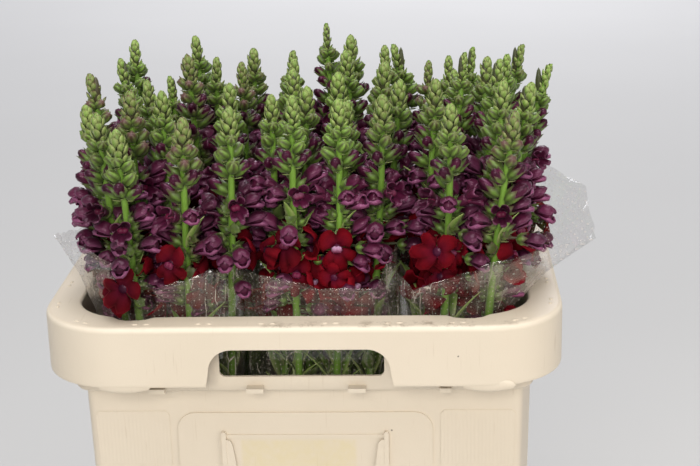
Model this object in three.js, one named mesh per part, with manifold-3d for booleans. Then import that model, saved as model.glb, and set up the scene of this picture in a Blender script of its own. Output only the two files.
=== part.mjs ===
// A cream plastic flower container with five sleeved bunches of cut snapdragons standing in water.
// Millimetres, +Z up. The origin is the middle of the container's flat underside, the front is -Y.
import * as THREE from 'three';
import { mergeVertices } from 'three/addons/utils/BufferGeometryUtils.js';
import Module from 'manifold-3d';

const wasm = await Module();
wasm.setup();

// ---- driving dimensions ----
const RIM_Z = 410;            // height of the rim's top face
const RIM = [225, 165, 66];   // half length, half depth and corner radius outside the rim
const MOUTH = [196, 136, 48]; // the same at the mouth
const WELL = [196, 136, 15];  // and at the foot of the inner wall
const BODY_TOP = [200, 127, 10.5, 44]; // half length, half depth, the cut of its corners along each
const BODY_FOOT = [194, 121, 10, 42];
const FOOT_Z = 4;             // height of the chamfered foot, and of the floor inside
const WALL = 3;
const SKIRT = 54;             // how far the outer skirt hangs below the rim
const STEP = 70;              // how far below the rim the body steps in
const CORNER_STEPS = 4;

const GRIP_HALF = 80;         // half width of the arch in the skirt, at its foot
const GRIP_TOP = 20;          // depth of its straight top edge below the rim
const WINDOW_HALF = 71;       // half width of the window behind it
const WINDOW_SILL = 55;

const PANEL_HALF = 112;
const PANEL_TOP = 94;         // below the rim
const PANEL_FOOT_Z = 55;
const RAIL_X = 68;            // middle of each rail of the card holder
const RAIL_TOP = 113;
const RAIL_FOOT = 235;

const WATER_Z = 65;
const GAP = 0.3;              // between pieces that touch
const STEM_FOOT_Z = 10;

const FILM = 0.8;             // thickness of the sleeves
const FILM_FOOT_Z = 80;
const FILM_RIM_Z = 404;

// One bunch a row: name, foot [x, y], its half size, the middle of its tips, its room at the rim
// [x from, x to, y from, y to], then [flare, height over the rim] at twelve points of the
// sleeve's open edge, counter-clockwise from the front left.
const BUNCHES = [
  { name: 'front_left', foot: [-118, -60], footHalf: [44, 45], middle: [-130, -57],
    room: [-187, -53, -126, 8],
    edge: [[20, 58], [12, 26], [4, 40], [0, 34], [0, 42], [0, 36],
           [0, 40], [0, 50], [0, 46], [16, 40], [24, 52], [30, 68]] },
  { name: 'front_middle', foot: [10, -60], footHalf: [38, 44], middle: [31, -53],
    room: [-50, 81, -126, 8],
    edge: [[6, 36], [10, 50], [12, 44], [0, 52], [0, 36], [0, 40],
           [0, 34], [0, 44], [0, 36], [0, 42], [0, 38], [0, 30]] },
  { name: 'front_right', foot: [118, -60], footHalf: [35, 46], middle: [162, -41],
    room: [84, 187, -126, 8],
    edge: [[6, 20], [12, 36], [22, 50], [74, 66], [58, 88], [30, 96],
           [0, 44], [0, 38], [0, 34], [0, 40], [0, 30], [0, 28]] },
  { name: 'back_left', foot: [-92, 62], footHalf: [52, 33], middle: [-93, 66],
    room: [-187, -2, 12, 126],
    edge: [[0, 40], [0, 34], [0, 44], [0, 36], [0, 44], [0, 50],
           [14, 62], [10, 40], [18, 56], [26, 60], [20, 44], [6, 40]] },
  { name: 'back_right', foot: [95, 62], footHalf: [54, 30], middle: [101, 81],
    room: [2, 187, 12, 126],
    edge: [[0, 36], [0, 44], [0, 36], [8, 46], [18, 56], [26, 62],
           [20, 58], [10, 42], [14, 60], [0, 46], [0, 40], [0, 34]] },
];

// One stem a row: tip [x, y, height over the rim], girth of the tight tip, sideways lean of the
// spike. Ten stems to a bunch, in the order of the bunches above.
const STEMS = [
  [-185, -70, 172, 1.0, -5], [-168, -105, 173, 1.0, 0], [-148, -128, 164, 1.15, 0],
  [-145, -70, 184, 1.0, 4], [-140, -15, 181, 0.8, -3], [-120, -60, 181, 1.0, 0],
  [-93, -120, 171, 1.05, 3], [-56, -105, 176, 1.05, -3], [-65, -20, 178, 0.95, 0],
  [-196, 0, 184, 0.9, -10],
  [-24, -65, 177, 0.9, 2], [-2, -110, 186, 0.8, 3], [6, -50, 180, 1.0, 4],
  [-10, -10, 187, 0.9, -3], [35, -105, 181, 0.9, -4], [41, -75, 172, 1.0, 0],
  [30, -5, 184, 1.05, -6], [72, -85, 181, 1.0, -5], [73, 10, 190, 1.0, 0],
  [87, -35, 183, 1.0, 0],
  [118, -55, 187, 0.9, 3], [129, -115, 179, 0.95, -3], [135, 10, 181, 0.75, 0],
  [183, -115, 171, 1.0, 5], [175, -80, 190, 0.9, 0], [175, -20, 196, 0.8, 4],
  [165, 15, 191, 0.9, 0], [200, -60, 183, 1.0, 6], [221, -8, 188, 0.7, 18],
  [144, -15, 201, 0.6, 5],
  [-178, 55, 186, 0.75, -5], [-170, 95, 196, 0.8, 6], [-132, 60, 169, 0.6, -6],
  [-108, 20, 197, 0.95, -3], [-112, 100, 199, 0.8, -6], [-88, 75, 183, 0.7, 3],
  [-61, 40, 185, 0.75, -4], [-56, 100, 186, 0.9, -3], [-16, 85, 186, 0.7, 0],
  [-11, 35, 188, 0.85, 0],
  [14, 110, 207, 0.55, 3], [38, 95, 198, 0.95, 3], [34, 50, 192, 0.9, -3],
  [71, 60, 194, 0.75, 0], [77, 100, 187, 0.8, -20], [112, 60, 179, 0.65, 0],
  [131, 85, 178, 0.7, -4], [155, 100, 183, 0.6, 3], [185, 55, 186, 0.7, 0],
  [202, 95, 187, 0.7, 10],
];
const CLOSER = 0.45;          // how far a bunch draws together at its foot
const BEND = 140;             // the spike bends over this length below its tip

// ---- small tools ----
const add = (a, b, k = 1) => [a[0] + b[0] * k, a[1] + b[1] * k, a[2] + b[2] * k];
const mix = (a, b, t) => a.map((v, i) => v + (b[i] - v) * t);
const cross = (a, b) => [a[1] * b[2] - a[2] * b[1], a[2] * b[0] - a[0] * b[2], a[0] * b[1] - a[1] * b[0]];

// a small even-handed number generator, so that every build is the same
function dice(seed) {
  let state = seed * 7919 + 17;
  return () => { state = (state * 16807) % 2147483647; return state / 2147483647; };
}

class Solid {
  constructor() { this.points = []; this.faces = []; }
  point(p) { this.points.push(p); return this.points.length - 1; }
  ring(points) { return points.map((p) => this.point(p)); }
  face(...ids) { for (let i = 2; i < ids.length; i++) this.faces.push([ids[0], ids[i - 1], ids[i]]); }
  // band between two rings; the outward side shows with a below b and counter-clockwise from above
  band(a, b) {
    for (let i = 0; i < a.length; i++) {
      const j = (i + 1) % a.length;
      this.face(a[i], a[j], b[j], b[i]);
    }
  }
  // the same band seen from its other side, split along the same diagonals
  lining(a, b) {
    for (let i = 0; i < a.length; i++) {
      const j = (i + 1) % a.length;
      this.face(a[i], b[i], b[j], a[j]);
    }
  }
  geometry() {
    const g = new THREE.BufferGeometry();
    g.setAttribute('position', new THREE.Float32BufferAttribute(this.points.flat(), 3));
    g.setIndex(this.faces.flat());
    return g;
  }
}

function toManifold(geometry) {
  const g = mergeVertices(geometry, 1e-4);
  return new wasm.Manifold(new wasm.Mesh({
    numProp: 3,
    vertProperties: new Float32Array(g.getAttribute('position').array),
    triVerts: new Uint32Array(g.getIndex().array),
  }));
}

function fromManifold(body) {
  const mesh = body.getMesh();
  const g = new THREE.BufferGeometry();
  g.setAttribute('position', new THREE.BufferAttribute(mesh.vertProperties.slice(), 3));
  g.setIndex(new THREE.BufferAttribute(mesh.triVerts.slice(), 1));
  return g;
}

// rounded rectangle, counter-clockwise from above
function roundedRing([hx, hy, r], z, steps = CORNER_STEPS) {
  const out = [];
  for (const [sx, sy, from] of [[1, 1, 0], [-1, 1, 90], [-1, -1, 180], [1, -1, 270]]) {
    for (let i = 0; i <= steps; i++) {
      const a = THREE.MathUtils.degToRad(from + (90 * i) / steps);
      out.push([sx * (hx - r) + r * Math.cos(a), sy * (hy - r) + r * Math.sin(a), z]);
    }
  }
  return out;
}

// rectangle with its corners cut off along a slightly full face, in the same order and number
function cutRing([hx, hy, cx, cy], z, steps = CORNER_STEPS) {
  const out = [];
  const long = Math.hypot(cx, cy);
  for (const [sx, sy] of [[1, 1], [-1, 1], [-1, -1], [1, -1]]) {
    for (let i = 0; i <= steps; i++) {
      const t = sx === sy ? i / steps : 1 - i / steps;
      const full = 2.4 * t * (1 - t);
      out.push([sx * (hx - cx * t + full * cy / long), sy * (hy - cy * (1 - t) + full * cx / long), z]);
    }
  }
  return out;
}

// a solid whose surface runs through a list of rings, capped at both ends
function loft(rings) {
  const s = new Solid();
  const ids = rings.map((r) => s.ring(r));
  for (let i = 1; i < ids.length; i++) s.band(ids[i - 1], ids[i]);
  s.face(...[...ids[0]].reverse());
  s.face(...ids[ids.length - 1]);
  return s.geometry();
}

// an outline [x, z] in the upright plane, run between two depths that may change with height
function slab(outline, near, far) {
  const flat = outline.map(([x, z]) => new THREE.Vector2(x, z));
  if (THREE.ShapeUtils.isClockWise(flat)) flat.reverse();
  const s = new Solid();
  const front = s.ring(flat.map((p) => [p.x, near(p.y), p.y]));
  const back = s.ring(flat.map((p) => [p.x, far(p.y), p.y]));
  for (const [a, b, c] of THREE.ShapeUtils.triangulateShape(flat, [])) {
    s.face(front[a], front[b], front[c]);
    s.face(back[c], back[b], back[a]);
  }
  for (let i = 0; i < flat.length; i++) {
    const j = (i + 1) % flat.length;
    s.face(front[i], back[i], back[j], front[j]);
  }
  return s.geometry();
}

// upright rectangle with its two top corners rounded, from z0 up to z1; foot is its half width there
function archOutline(foot, top, z0, z1, r, steps = 3) {
  const out = [[-foot, z0], [foot, z0]];
  for (let i = 0; i <= steps; i++) {
    const a = (Math.PI / 2) * (i / steps);
    out.push([top - r + r * Math.cos(a), z1 - r + r * Math.sin(a)]);
  }
  for (let i = steps; i >= 0; i--) {
    const a = (Math.PI / 2) * (i / steps);
    out.push([-top + r - r * Math.cos(a), z1 - r + r * Math.sin(a)]);
  }
  return out;
}

// ---- container ----
const grow = ([hx, hy, r], d) => [hx + d, hy + d, r + d];
const growCut = ([hx, hy, cx, cy], d) => [hx + d, hy + d, cx, cy];
const stepZ = RIM_Z - STEP;
// depth of the body's front face at height z
const bodyFace = (z) => BODY_FOOT[1] + (BODY_TOP[1] - BODY_FOOT[1]) * (z - FOOT_Z) / (stepZ - FOOT_Z);

function container() {
  const shell = loft([
    cutRing(growCut(BODY_FOOT, -4), 0),
    cutRing(BODY_FOOT, FOOT_Z),
    cutRing(BODY_TOP, stepZ),
    roundedRing(grow(WELL, WALL), stepZ + WALL),
    roundedRing(grow(MOUTH, WALL), RIM_Z - WALL),
    roundedRing(grow(RIM, -WALL), RIM_Z - WALL),
    roundedRing(grow(RIM, -WALL), RIM_Z - SKIRT),
    roundedRing(RIM, RIM_Z - SKIRT),
    roundedRing(RIM, RIM_Z - 2.5),
    roundedRing(grow(RIM, -2.5), RIM_Z),
    roundedRing(grow(MOUTH, 2), RIM_Z),
    roundedRing(MOUTH, RIM_Z - 2),
    roundedRing(WELL, stepZ + 2 * WALL),
    cutRing(growCut(BODY_TOP, -WALL), stepZ),
    cutRing(growCut(BODY_FOOT, -WALL), FOOT_Z + WALL),
    cutRing(growCut(BODY_FOOT, -2 * WALL), FOOT_Z),
  ]);
  let body = toManifold(shell);

  const panel = archOutline(PANEL_HALF, PANEL_HALF, PANEL_FOOT_Z, RIM_Z - PANEL_TOP, 16);
  const rail = (x) => archOutline(5.5, 5.5, RIM_Z - RAIL_FOOT, RIM_Z - RAIL_TOP, 2, 1)
    .map(([u, z]) => [x + u, z]);
  const sill = [[-RAIL_X, RIM_Z - RAIL_FOOT], [RAIL_X, RIM_Z - RAIL_FOOT],
    [RAIL_X, RIM_Z - RAIL_FOOT + 7], [-RAIL_X, RIM_Z - RAIL_FOOT + 7]];
  body = body.add(toManifold(slab(panel, (z) => -bodyFace(z) - 1.4, (z) => -bodyFace(z) + 1)));
  for (const bar of [rail(-RAIL_X), rail(RAIL_X), sill]) {
    body = body.add(toManifold(slab(bar, (z) => -bodyFace(z) - 5, (z) => -bodyFace(z) + 1)));
  }
  body = body.add(toManifold(slab(panel, (z) => bodyFace(z) - 1, (z) => bodyFace(z) + 1.4)));

  const arch = archOutline(GRIP_HALF, GRIP_HALF - 3, RIM_Z - SKIRT - 2, RIM_Z - GRIP_TOP, 17);
  const window = archOutline(WINDOW_HALF, WINDOW_HALF, RIM_Z - WINDOW_SILL, RIM_Z - GRIP_TOP + 4, 10, 2);
  const skirtMid = RIM[1] - WALL / 2;
  const innerMid = MOUTH[1] + WALL / 2;
  for (const side of [-1, 1]) {
    body = body.subtract(toManifold(slab(arch, () => side * skirtMid - 5, () => side * skirtMid + 5)));
    body = body.subtract(toManifold(slab(window, () => side * innerMid - 5, () => side * innerMid + 5)));
  }
  return fromManifold(body);
}

// ---- stems: where they stand ----
const CELL = 20;              // size of the cells that the crowd is sorted into
const crowd = new Map();

function cells([x, y, z], visit) {
  const [i, j, k] = [x, y, z].map((v) => Math.floor(v / CELL));
  for (let a = i - 1; a <= i + 1; a++) {
    for (let b = j - 1; b <= j + 1; b++) {
      for (let c = k - 1; c <= k + 1; c++) {
        for (const ball of crowd.get(`${a},${b},${c}`) ?? []) if (visit(ball)) return true;
      }
    }
  }
  return false;
}

function remember(ball) {
  const key = ball.at.map((v) => Math.floor(v / CELL)).join(',');
  if (!crowd.has(key)) crowd.set(key, []);
  crowd.get(key).push(ball);
}

const CLEAR = 0.6;            // least space between two pieces of different stems
function isFree(balls) {
  for (const ball of balls) {
    const [x, y, z] = ball.at;
    if (z - ball.r < RIM_Z + 4 && (Math.abs(x) > 190 || Math.abs(y) > 129)) return false;
    const hit = cells(ball.at, (other) => {
      if (other.owner === ball.owner && (other.axis || (ball.root && other.root))) return false;
      const [dx, dy, dz] = [other.at[0] - x, other.at[1] - y, other.at[2] - z];
      const reach = other.r + ball.r + CLEAR;
      return dx * dx + dy * dy + dz * dz < reach * reach;
    });
    if (hit) return false;
  }
  return true;
}

// radius of a stem's square section, corner to corner, at a depth below its tip
const girthAt = (depth) => Math.min(3.8, 2.6 + depth * 0.007);

function plantStem(row, index) {
  const [tipX, tipY, over, girth, lean] = row;
  const bunch = BUNCHES[Math.floor(index / 10)];
  const roll = dice(index + 1);
  const tip = [tipX - lean, tipY, RIM_Z + over];
  const foot = [bunch.foot[0] + (tip[0] - bunch.middle[0]) * CLOSER,
    bunch.foot[1] + (tip[1] - bunch.middle[1]) * CLOSER, STEM_FOOT_Z];
  const bow = (roll() - 0.5) * 8;
  const axis = (depth) => {
    const p = mix(tip, foot, depth / (tip[2] - STEM_FOOT_Z));
    const bend = depth < BEND ? ((BEND - depth) / BEND) ** 2 : 0;
    return [p[0] + lean * bend, p[1] + bow * bend, p[2]];
  };
  return { index, girth, axis, length: tip[2] - STEM_FOOT_Z, turn: roll() * Math.PI / 2, roll,
    front: tipY < -90, organs: [] };
}

// ---- sleeves ----
const EDGE_SPOTS = [[-0.72, -1], [0, -1], [0.72, -1], [1, -0.72], [1, 0], [1, 0.72],
  [0.72, 1], [0, 1], [-0.72, 1], [-1, 0.72], [-1, 0], [-1, -0.72]];

// keeps a point inside the mouth's rounded corners
function insideMouth([x, y], [hx, hy, r]) {
  const [cx, cy] = [Math.sign(x) * (hx - r), Math.sign(y) * (hy - r)];
  if (Math.abs(x) <= hx - r || Math.abs(y) <= hy - r) return [x, y];
  const far = Math.hypot(x - cx, y - cy);
  return far <= r ? [x, y] : [cx + (x - cx) * r / far, cy + (y - cy) * r / far];
}

function sleeveRings(bunch) {
  const [x0, x1, y0, y1] = bunch.room;
  const middle = [(x0 + x1) / 2, (y0 + y1) / 2];
  const rim = EDGE_SPOTS.map(([u, v], i) => insideMouth(
    [middle[0] + u * (x1 - x0) / 2, middle[1] + v * (y1 - y0) / 2], [188, 127, 50]));
  const foot = EDGE_SPOTS.map(([u, v], i) => [
    bunch.foot[0] + u * bunch.footHalf[0] - (i % 2), bunch.foot[1] + v * bunch.footHalf[1]]);
  const outward = rim.map(([x, y]) => {
    const d = [((x - middle[0]) / (x1 - x0)) ** 3, ((y - middle[1]) / (y1 - y0)) ** 3];
    const far = Math.hypot(...d);
    return [d[0] / far, d[1] / far];
  });
  const level = (share, bulge) => rim.map(([x, y], i) => {
    const [flare, height] = bunch.edge[i];
    return [x + outward[i][0] * flare * bulge, y + outward[i][1] * flare * bulge,
      FILM_RIM_Z + (RIM_Z - FILM_RIM_Z + height) * share];
  });
  const shape = [foot.map(([x, y]) => [x, y, FILM_FOOT_Z]), level(0, 0), level(0.5, 0.4), level(1, 1)];
  return { shape, outward };
}

function sleeve(bunch) {
  const { shape, outward } = sleeveRings(bunch);
  const s = new Solid();
  const skin = (side) => shape.map((ring) => s.ring(ring.map(([x, y, z], i) =>
    [x + outward[i][0] * side * FILM / 2, y + outward[i][1] * side * FILM / 2, z])));
  const outer = skin(1);
  const inner = skin(-1);
  for (let k = 1; k < shape.length; k++) {
    s.band(outer[k - 1], outer[k]);
    s.lining(inner[k - 1], inner[k]);
  }
  s.band(inner[0], outer[0]);
  s.band(outer[shape.length - 1], inner[shape.length - 1]);
  return s.geometry();
}

// the film as a crowd of small balls that flowers keep clear of
function rememberSleeve(bunch) {
  const { shape } = sleeveRings(bunch);
  for (let k = 1; k < shape.length; k++) {
    for (let i = 0; i < 12; i++) {
      const j = (i + 1) % 12;
      for (const [a, b, c] of [[shape[k - 1][i], shape[k - 1][j], shape[k][j]],
        [shape[k - 1][i], shape[k][j], shape[k][i]]]) {
        const longest = Math.max(...[[a, b], [b, c], [c, a]].map(([p, q]) =>
          Math.hypot(q[0] - p[0], q[1] - p[1], q[2] - p[2])));
        const n = Math.ceil(longest / 7);
        for (let u = 0; u <= n; u++) {
          for (let v = 0; v <= n - u; v++) {
            const at = [0, 1, 2].map((m) => (a[m] * (n - u - v) + b[m] * u + c[m] * v) / n);
            if (at[2] > 290) remember({ at, r: 3, owner: bunch.name });
          }
        }
      }
    }
  }
}

// ---- what grows on a stem ----
// Depths below the tip of the rings of the stem's skin. Between two rings lie four cells, and
// scales, buds, flowers and leaves are raised from those cells.
const SCALE_RINGS = [2.5, 9, 16, 24];
const BUD_RINGS = [38, 53, 69, 86];
const FLOWER_RINGS = [[86, 95], [127, 136], [163, 172]];
const LEAF_RINGS = [212, 222];
const RING_TURN = Math.PI / 4;

// rings of one stem: depth, radius, turn, and what the cells under it carry
function stemRings(stem) {
  const rings = [];
  let turn = stem.turn;
  const ring = (depth, radius, carries, twist) => {
    turn += twist;
    rings.push({ depth, radius, carries, turn });
  };
  const g = stem.girth;
  [2.2 * g, 3.6 * g, 4.2 * g, 3.4 * g].forEach((radius, i) =>
    ring(SCALE_RINGS[i], radius, i < 3 ? 'scale' : 'bud', RING_TURN));
  BUD_RINGS.forEach((depth, i) => ring(depth, girthAt(depth), i < 3 ? 'bud' : 'flower', RING_TURN));
  const tiers = stem.front ? 3 : 2;
  for (let t = 0; t < tiers; t++) {
    const [top, low] = FLOWER_RINGS[t];
    if (t > 0) ring(top, girthAt(top), 'flower', RING_TURN);
    ring(low, girthAt(low), '', 0);
  }
  if (stem.leafy) {
    ring(LEAF_RINGS[0], girthAt(LEAF_RINGS[0]), 'leaf', RING_TURN);
    ring(LEAF_RINGS[1], girthAt(LEAF_RINGS[1]), '', 0);
  }
  ring(stem.length, girthAt(stem.length), '', 0);
  return rings;
}

// frame of an organ that leaves a cell: middle of the cell, then right, up and outward
function organFrame(stem, k, side, yaw, rise) {
  const [a, b] = [stem.rings[k], stem.rings[k + 1]];
  const angle = (a.turn + b.turn) / 2 + (side + 0.5) * Math.PI / 2;
  const depth = (a.depth + b.depth) / 2;
  const radius = (a.radius + b.radius) / 2 * 0.72;
  const at = add(stem.axis(depth), [Math.cos(angle), Math.sin(angle), 0], radius);
  const way = angle + yaw;
  const right = [-Math.sin(way), Math.cos(way), 0];
  const out = [Math.cos(way) * Math.cos(rise), Math.sin(way) * Math.cos(rise), Math.sin(rise)];
  return { at, right, up: cross(out, right), out };
}

const place = (f, x, y, z) => add(add(add(f.at, f.right, x), f.up, y), f.out, z);

// corners of the open flower's face, counter-clockwise from the lower left lobe, and its palate
const FACE = [[-13, -9, 17], [0, -16, 15], [13, -9, 17], [8, 1, 19], [13, 15, 16], [0, 9, 19],
  [-13, 15, 16], [-8, 1, 19]];
const PALATE = [0, -1, 24];
const SQUARE = [[-1, -1], [1, -1], [1, 1], [-1, 1]];
const FLOWER_BALLS = [[0, 0, 6, 5.5, true], [0, 0, 13, 6.5], [0, 0, 18, 9.2], [-9, 10.5, 17, 6.4],
  [9, 10.5, 17, 6.4], [-8, -7, 17, 6.6], [8, -7, 17, 6.6], [0, -10.5, 16, 6.8]];

function ballsOf(organ, owner) {
  const { frame: f, kind, size: s } = organ;
  const ball = (x, y, z, r, root = false) => ({ at: place(f, x, y, z), r, root, owner });
  if (kind === 'flower') {
    return FLOWER_BALLS.map(([x, y, z, r, root]) => ball(x * s, y * s, z * s, r * s, !!root));
  }
  if (kind === 'leaf') {
    return [0.2, 0.35, 0.5, 0.65, 0.8, 0.95].map((t) =>
      ball(0, 0, t * s, Math.max(1.5, 6.5 * (1 - Math.abs(t - 0.5) * 1.4)), t < 0.3));
  }
  const w = organ.width;
  return [ball(0, 0, s * 0.4, w * 1.1, true), ball(0, 0, s * 0.62, w * 1.2), ball(0, 0, s * 0.85, w * 0.6)];
}

// tries turns and sizes in a drawn order and keeps the first that touches nothing
function tryOrgan(stem, kind, k, sides, yaws, rise, sizes, widthOf) {
  const options = [];
  for (const side of sides) {
    if (stem.organs.some((o) => o.k === k && o.side === side)) continue;
    for (const yaw of yaws) options.push([stem.roll(), side, yaw]);
  }
  options.sort((a, b) => a[0] - b[0]);
  for (const size of sizes) {
    for (const [, side, yaw] of options) {
      const frame = organFrame(stem, k, side, yaw, rise);
      const organ = { kind, k, side, yaw, frame, size, width: widthOf(size) };
      const balls = ballsOf(organ, stem.index);
      if (isFree(balls)) {
        balls.forEach(remember);
        stem.organs.push(organ);
        return;
      }
    }
  }
}

function growAll() {
  const stems = STEMS.map(plantStem);
  for (const stem of stems) {
    stem.leafy = stem.index % 3 === 0;
    stem.rings = stemRings(stem);
    for (const depth of [5, 11, 17, 23]) {
      remember({ at: stem.axis(depth), r: 8.2 * stem.girth, owner: stem.index, axis: true });
    }
    for (let depth = 28; depth < 330; depth += 5) {
      remember({ at: stem.axis(depth), r: girthAt(depth) + 0.4, owner: stem.index, axis: true });
    }
  }
  BUNCHES.forEach(rememberSleeve);
  const bands = (stem, carries) =>
    stem.rings.map((r, k) => (r.carries === carries ? k : -1)).filter((k) => k >= 0);
  // flowers tier by tier, so that every stem has its turn, then what fills in between
  for (const [tier, most] of [[0, 1], [1, 1], [2, 1], [0, 2], [1, 2]]) {
    for (const stem of stems) {
      const k = bands(stem, 'flower')[tier];
      if (k === undefined || stem.organs.filter((o) => o.k === k).length >= most) continue;
      if (tier === 1 && most === 2 && Math.abs(stem.axis(0)[1]) < 50) continue;
      const rise = (0.42 - 0.16 * tier) + (stem.roll() - 0.5) * 0.2;
      tryOrgan(stem, 'flower', k, [0, 1, 2, 3], [-0.5, 0, 0.5], rise, [1, 0.9, 0.8, 0.7], () => 0);
    }
  }
  for (const stem of stems) {
    for (const k of bands(stem, 'flower')) {
      tryOrgan(stem, 'corolla', k, [0, 1, 2, 3], [-0.4, 0, 0.4], 0.5, [20, 17], () => 5);
    }
    bands(stem, 'bud').forEach((k, tier) => {
      const rise = [0.62, 0.69, 0.68, 0.62][tier];
      const full = (11 + 3.3 * tier) * (0.7 + 0.3 * stem.girth);
      const width = (4.2 + 0.4 * tier) * (0.7 + 0.3 * stem.girth);
      for (const side of tier % 2 ? [1, 3] : [0, 2]) {
        tryOrgan(stem, tier > 2 ? 'corolla' : 'bud', k, [side], tier > 0 ? [0, -0.3, 0.3] : [0],
          rise + (stem.roll() - 0.5) * 0.2, [full, full * 0.85], () => width);
      }
    });
    for (const k of bands(stem, 'leaf')) {
      for (let n = 0; n < 2; n++) {
        tryOrgan(stem, 'leaf', k, [0, 1, 2, 3], [-0.4, 0, 0.4], 1.15, [62, 52, 44], () => 6.5);
      }
    }
  }
  return stems;
}

// ---- the skin of one stem with all that grows from it ----
function stemGeometry(stem) {
  const s = new Solid();
  const rings = stem.rings.map((r) => s.ring([0, 1, 2, 3].map((i) => {
    const a = r.turn + i * Math.PI / 2;
    return add(stem.axis(r.depth), [Math.cos(a), Math.sin(a), 0], r.radius);
  })));
  const tip = s.point(stem.axis(0));
  for (let i = 0; i < 4; i++) s.face(rings[0][i], rings[0][(i + 1) % 4], tip);
  s.face(...[...rings[rings.length - 1]].reverse());

  const raise = (cell, f, half, flat, z0, z1) => {
    const belt = s.ring(SQUARE.map(([x, y]) => place(f, x * half, y * flat, z0)));
    s.band(cell, belt);
    const end = s.point(place(f, 0, 0, z1));
    for (let i = 0; i < 4; i++) s.face(belt[i], belt[(i + 1) % 4], end);
  };

  for (let k = 0; k + 1 < rings.length; k++) {
    for (let side = 0; side < 4; side++) {
      const next = (side + 1) % 4;
      const cell = [rings[k + 1][side], rings[k + 1][next], rings[k][next], rings[k][side]];
      const organ = stem.organs.find((o) => o.k === k && o.side === side);
      if (stem.rings[k].carries === 'scale') {
        const f = organFrame(stem, k, side, 0, 0);
        const lift = k < 2 ? 3.8 : 2.6;
        const apex = s.point(place(f, 0, lift * stem.girth, 4 * stem.girth));
        for (let i = 0; i < 4; i++) s.face(cell[i], cell[(i + 1) % 4], apex);
      } else if (!organ) {
        s.face(...cell);
      } else if (organ.kind === 'flower') {
        const { frame: f, size } = organ;
        const neck = s.ring(SQUARE.map(([x, y]) => place(f, x * 4.4 * size, y * 4.4 * size, 10 * size)));
        s.band(cell, neck);
        const face = s.ring(FACE.map((p) => place(f, ...p.map((v) => v * size))));
        const [n0, n1, n2, n3] = neck;
        const fans = [[n0, 7, 0, 1], [n1, 1, 2, 3], [n2, 3, 4, 5], [n3, 5, 6, 7]];
        for (const [n, ...run] of fans) {
          for (let i = 1; i < run.length; i++) s.face(n, face[run[i]], face[run[i - 1]]);
        }
        s.face(n0, n1, face[1]);
        s.face(n1, n2, face[3]);
        s.face(n2, n3, face[5]);
        s.face(n3, n0, face[7]);
        const palate = s.point(place(f, ...PALATE.map((v) => v * size)));
        for (let i = 0; i < 8; i++) s.face(face[i], face[(i + 1) % 8], palate);
      } else if (organ.kind === 'leaf') {
        raise(cell, organ.frame, organ.width, 0.6, organ.size * 0.5, organ.size);
      } else {
        const w = organ.width * 0.8;
        raise(cell, organ.frame, w, w, organ.size * 0.6, organ.size);
      }
    }
  }
  return s.geometry();
}

// ---- water, with a plain hole round every stem ----
function water(stems) {
  const at = (z) => {
    const t = (z - FOOT_Z) / (stepZ - FOOT_Z);
    return growCut(mix(BODY_FOOT, BODY_TOP, t), -WALL - GAP);
  };
  let body = toManifold(loft([
    cutRing(growCut(BODY_FOOT, -2 * WALL - GAP), FOOT_Z + GAP),
    cutRing(at(FOOT_Z + WALL), FOOT_Z + WALL),
    cutRing(at(WATER_Z), WATER_Z),
  ]));
  for (const stem of stems) {
    const foot = stem.length;
    const turn = stem.rings[stem.rings.length - 1].turn;
    const section = (z, depth) => [0, 1, 2, 3].map((i) => {
      const a = turn + i * Math.PI / 2;
      const [x, y] = stem.axis(depth);
      return [x + Math.cos(a) * 4.3, y + Math.sin(a) * 4.3, z];
    });
    body = body.subtract(toManifold(loft([
      section(STEM_FOOT_Z - GAP, foot),
      section(WATER_Z + 5, foot - (WATER_Z + 5 - STEM_FOOT_Z)),
    ])));
  }
  return fromManifold(body);
}

// ---- the object ----
function piece(name, geometry, color, roughness) {
  geometry.computeVertexNormals();
  const mesh = new THREE.Mesh(geometry, new THREE.MeshStandardMaterial({ color, roughness, metalness: 0 }));
  mesh.name = name;
  return mesh;
}

const object = new THREE.Group();
object.name = 'snapdragon_container';
const stems = growAll();
object.add(piece('container', container(), 0xeadcc6, 0.5));
object.add(piece('water', water(stems), 0xc9d6cf, 0.1));
for (const bunch of BUNCHES) {
  object.add(piece(`sleeve_${bunch.name}`, sleeve(bunch), 0xe8ebee, 0.2));
}
stems.forEach((stem, i) => {
  object.add(piece(`snapdragon_stem_${String(i + 1).padStart(2, '0')}`, stemGeometry(stem), 0x6f8f3a, 0.6));
});

export default object;
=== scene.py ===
"""A cream flower container with five sleeved bunches of cut snapdragons, dressed around its solids.
Metres, +Z up; the origin is the middle of the container's underside and the front is -Y.
What grows is worked out in millimetres, by the rule that the solids are grown by."""
import math
from functools import partial
from itertools import product

import bmesh
import bpy
from mathutils import Matrix, Vector, noise


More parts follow.
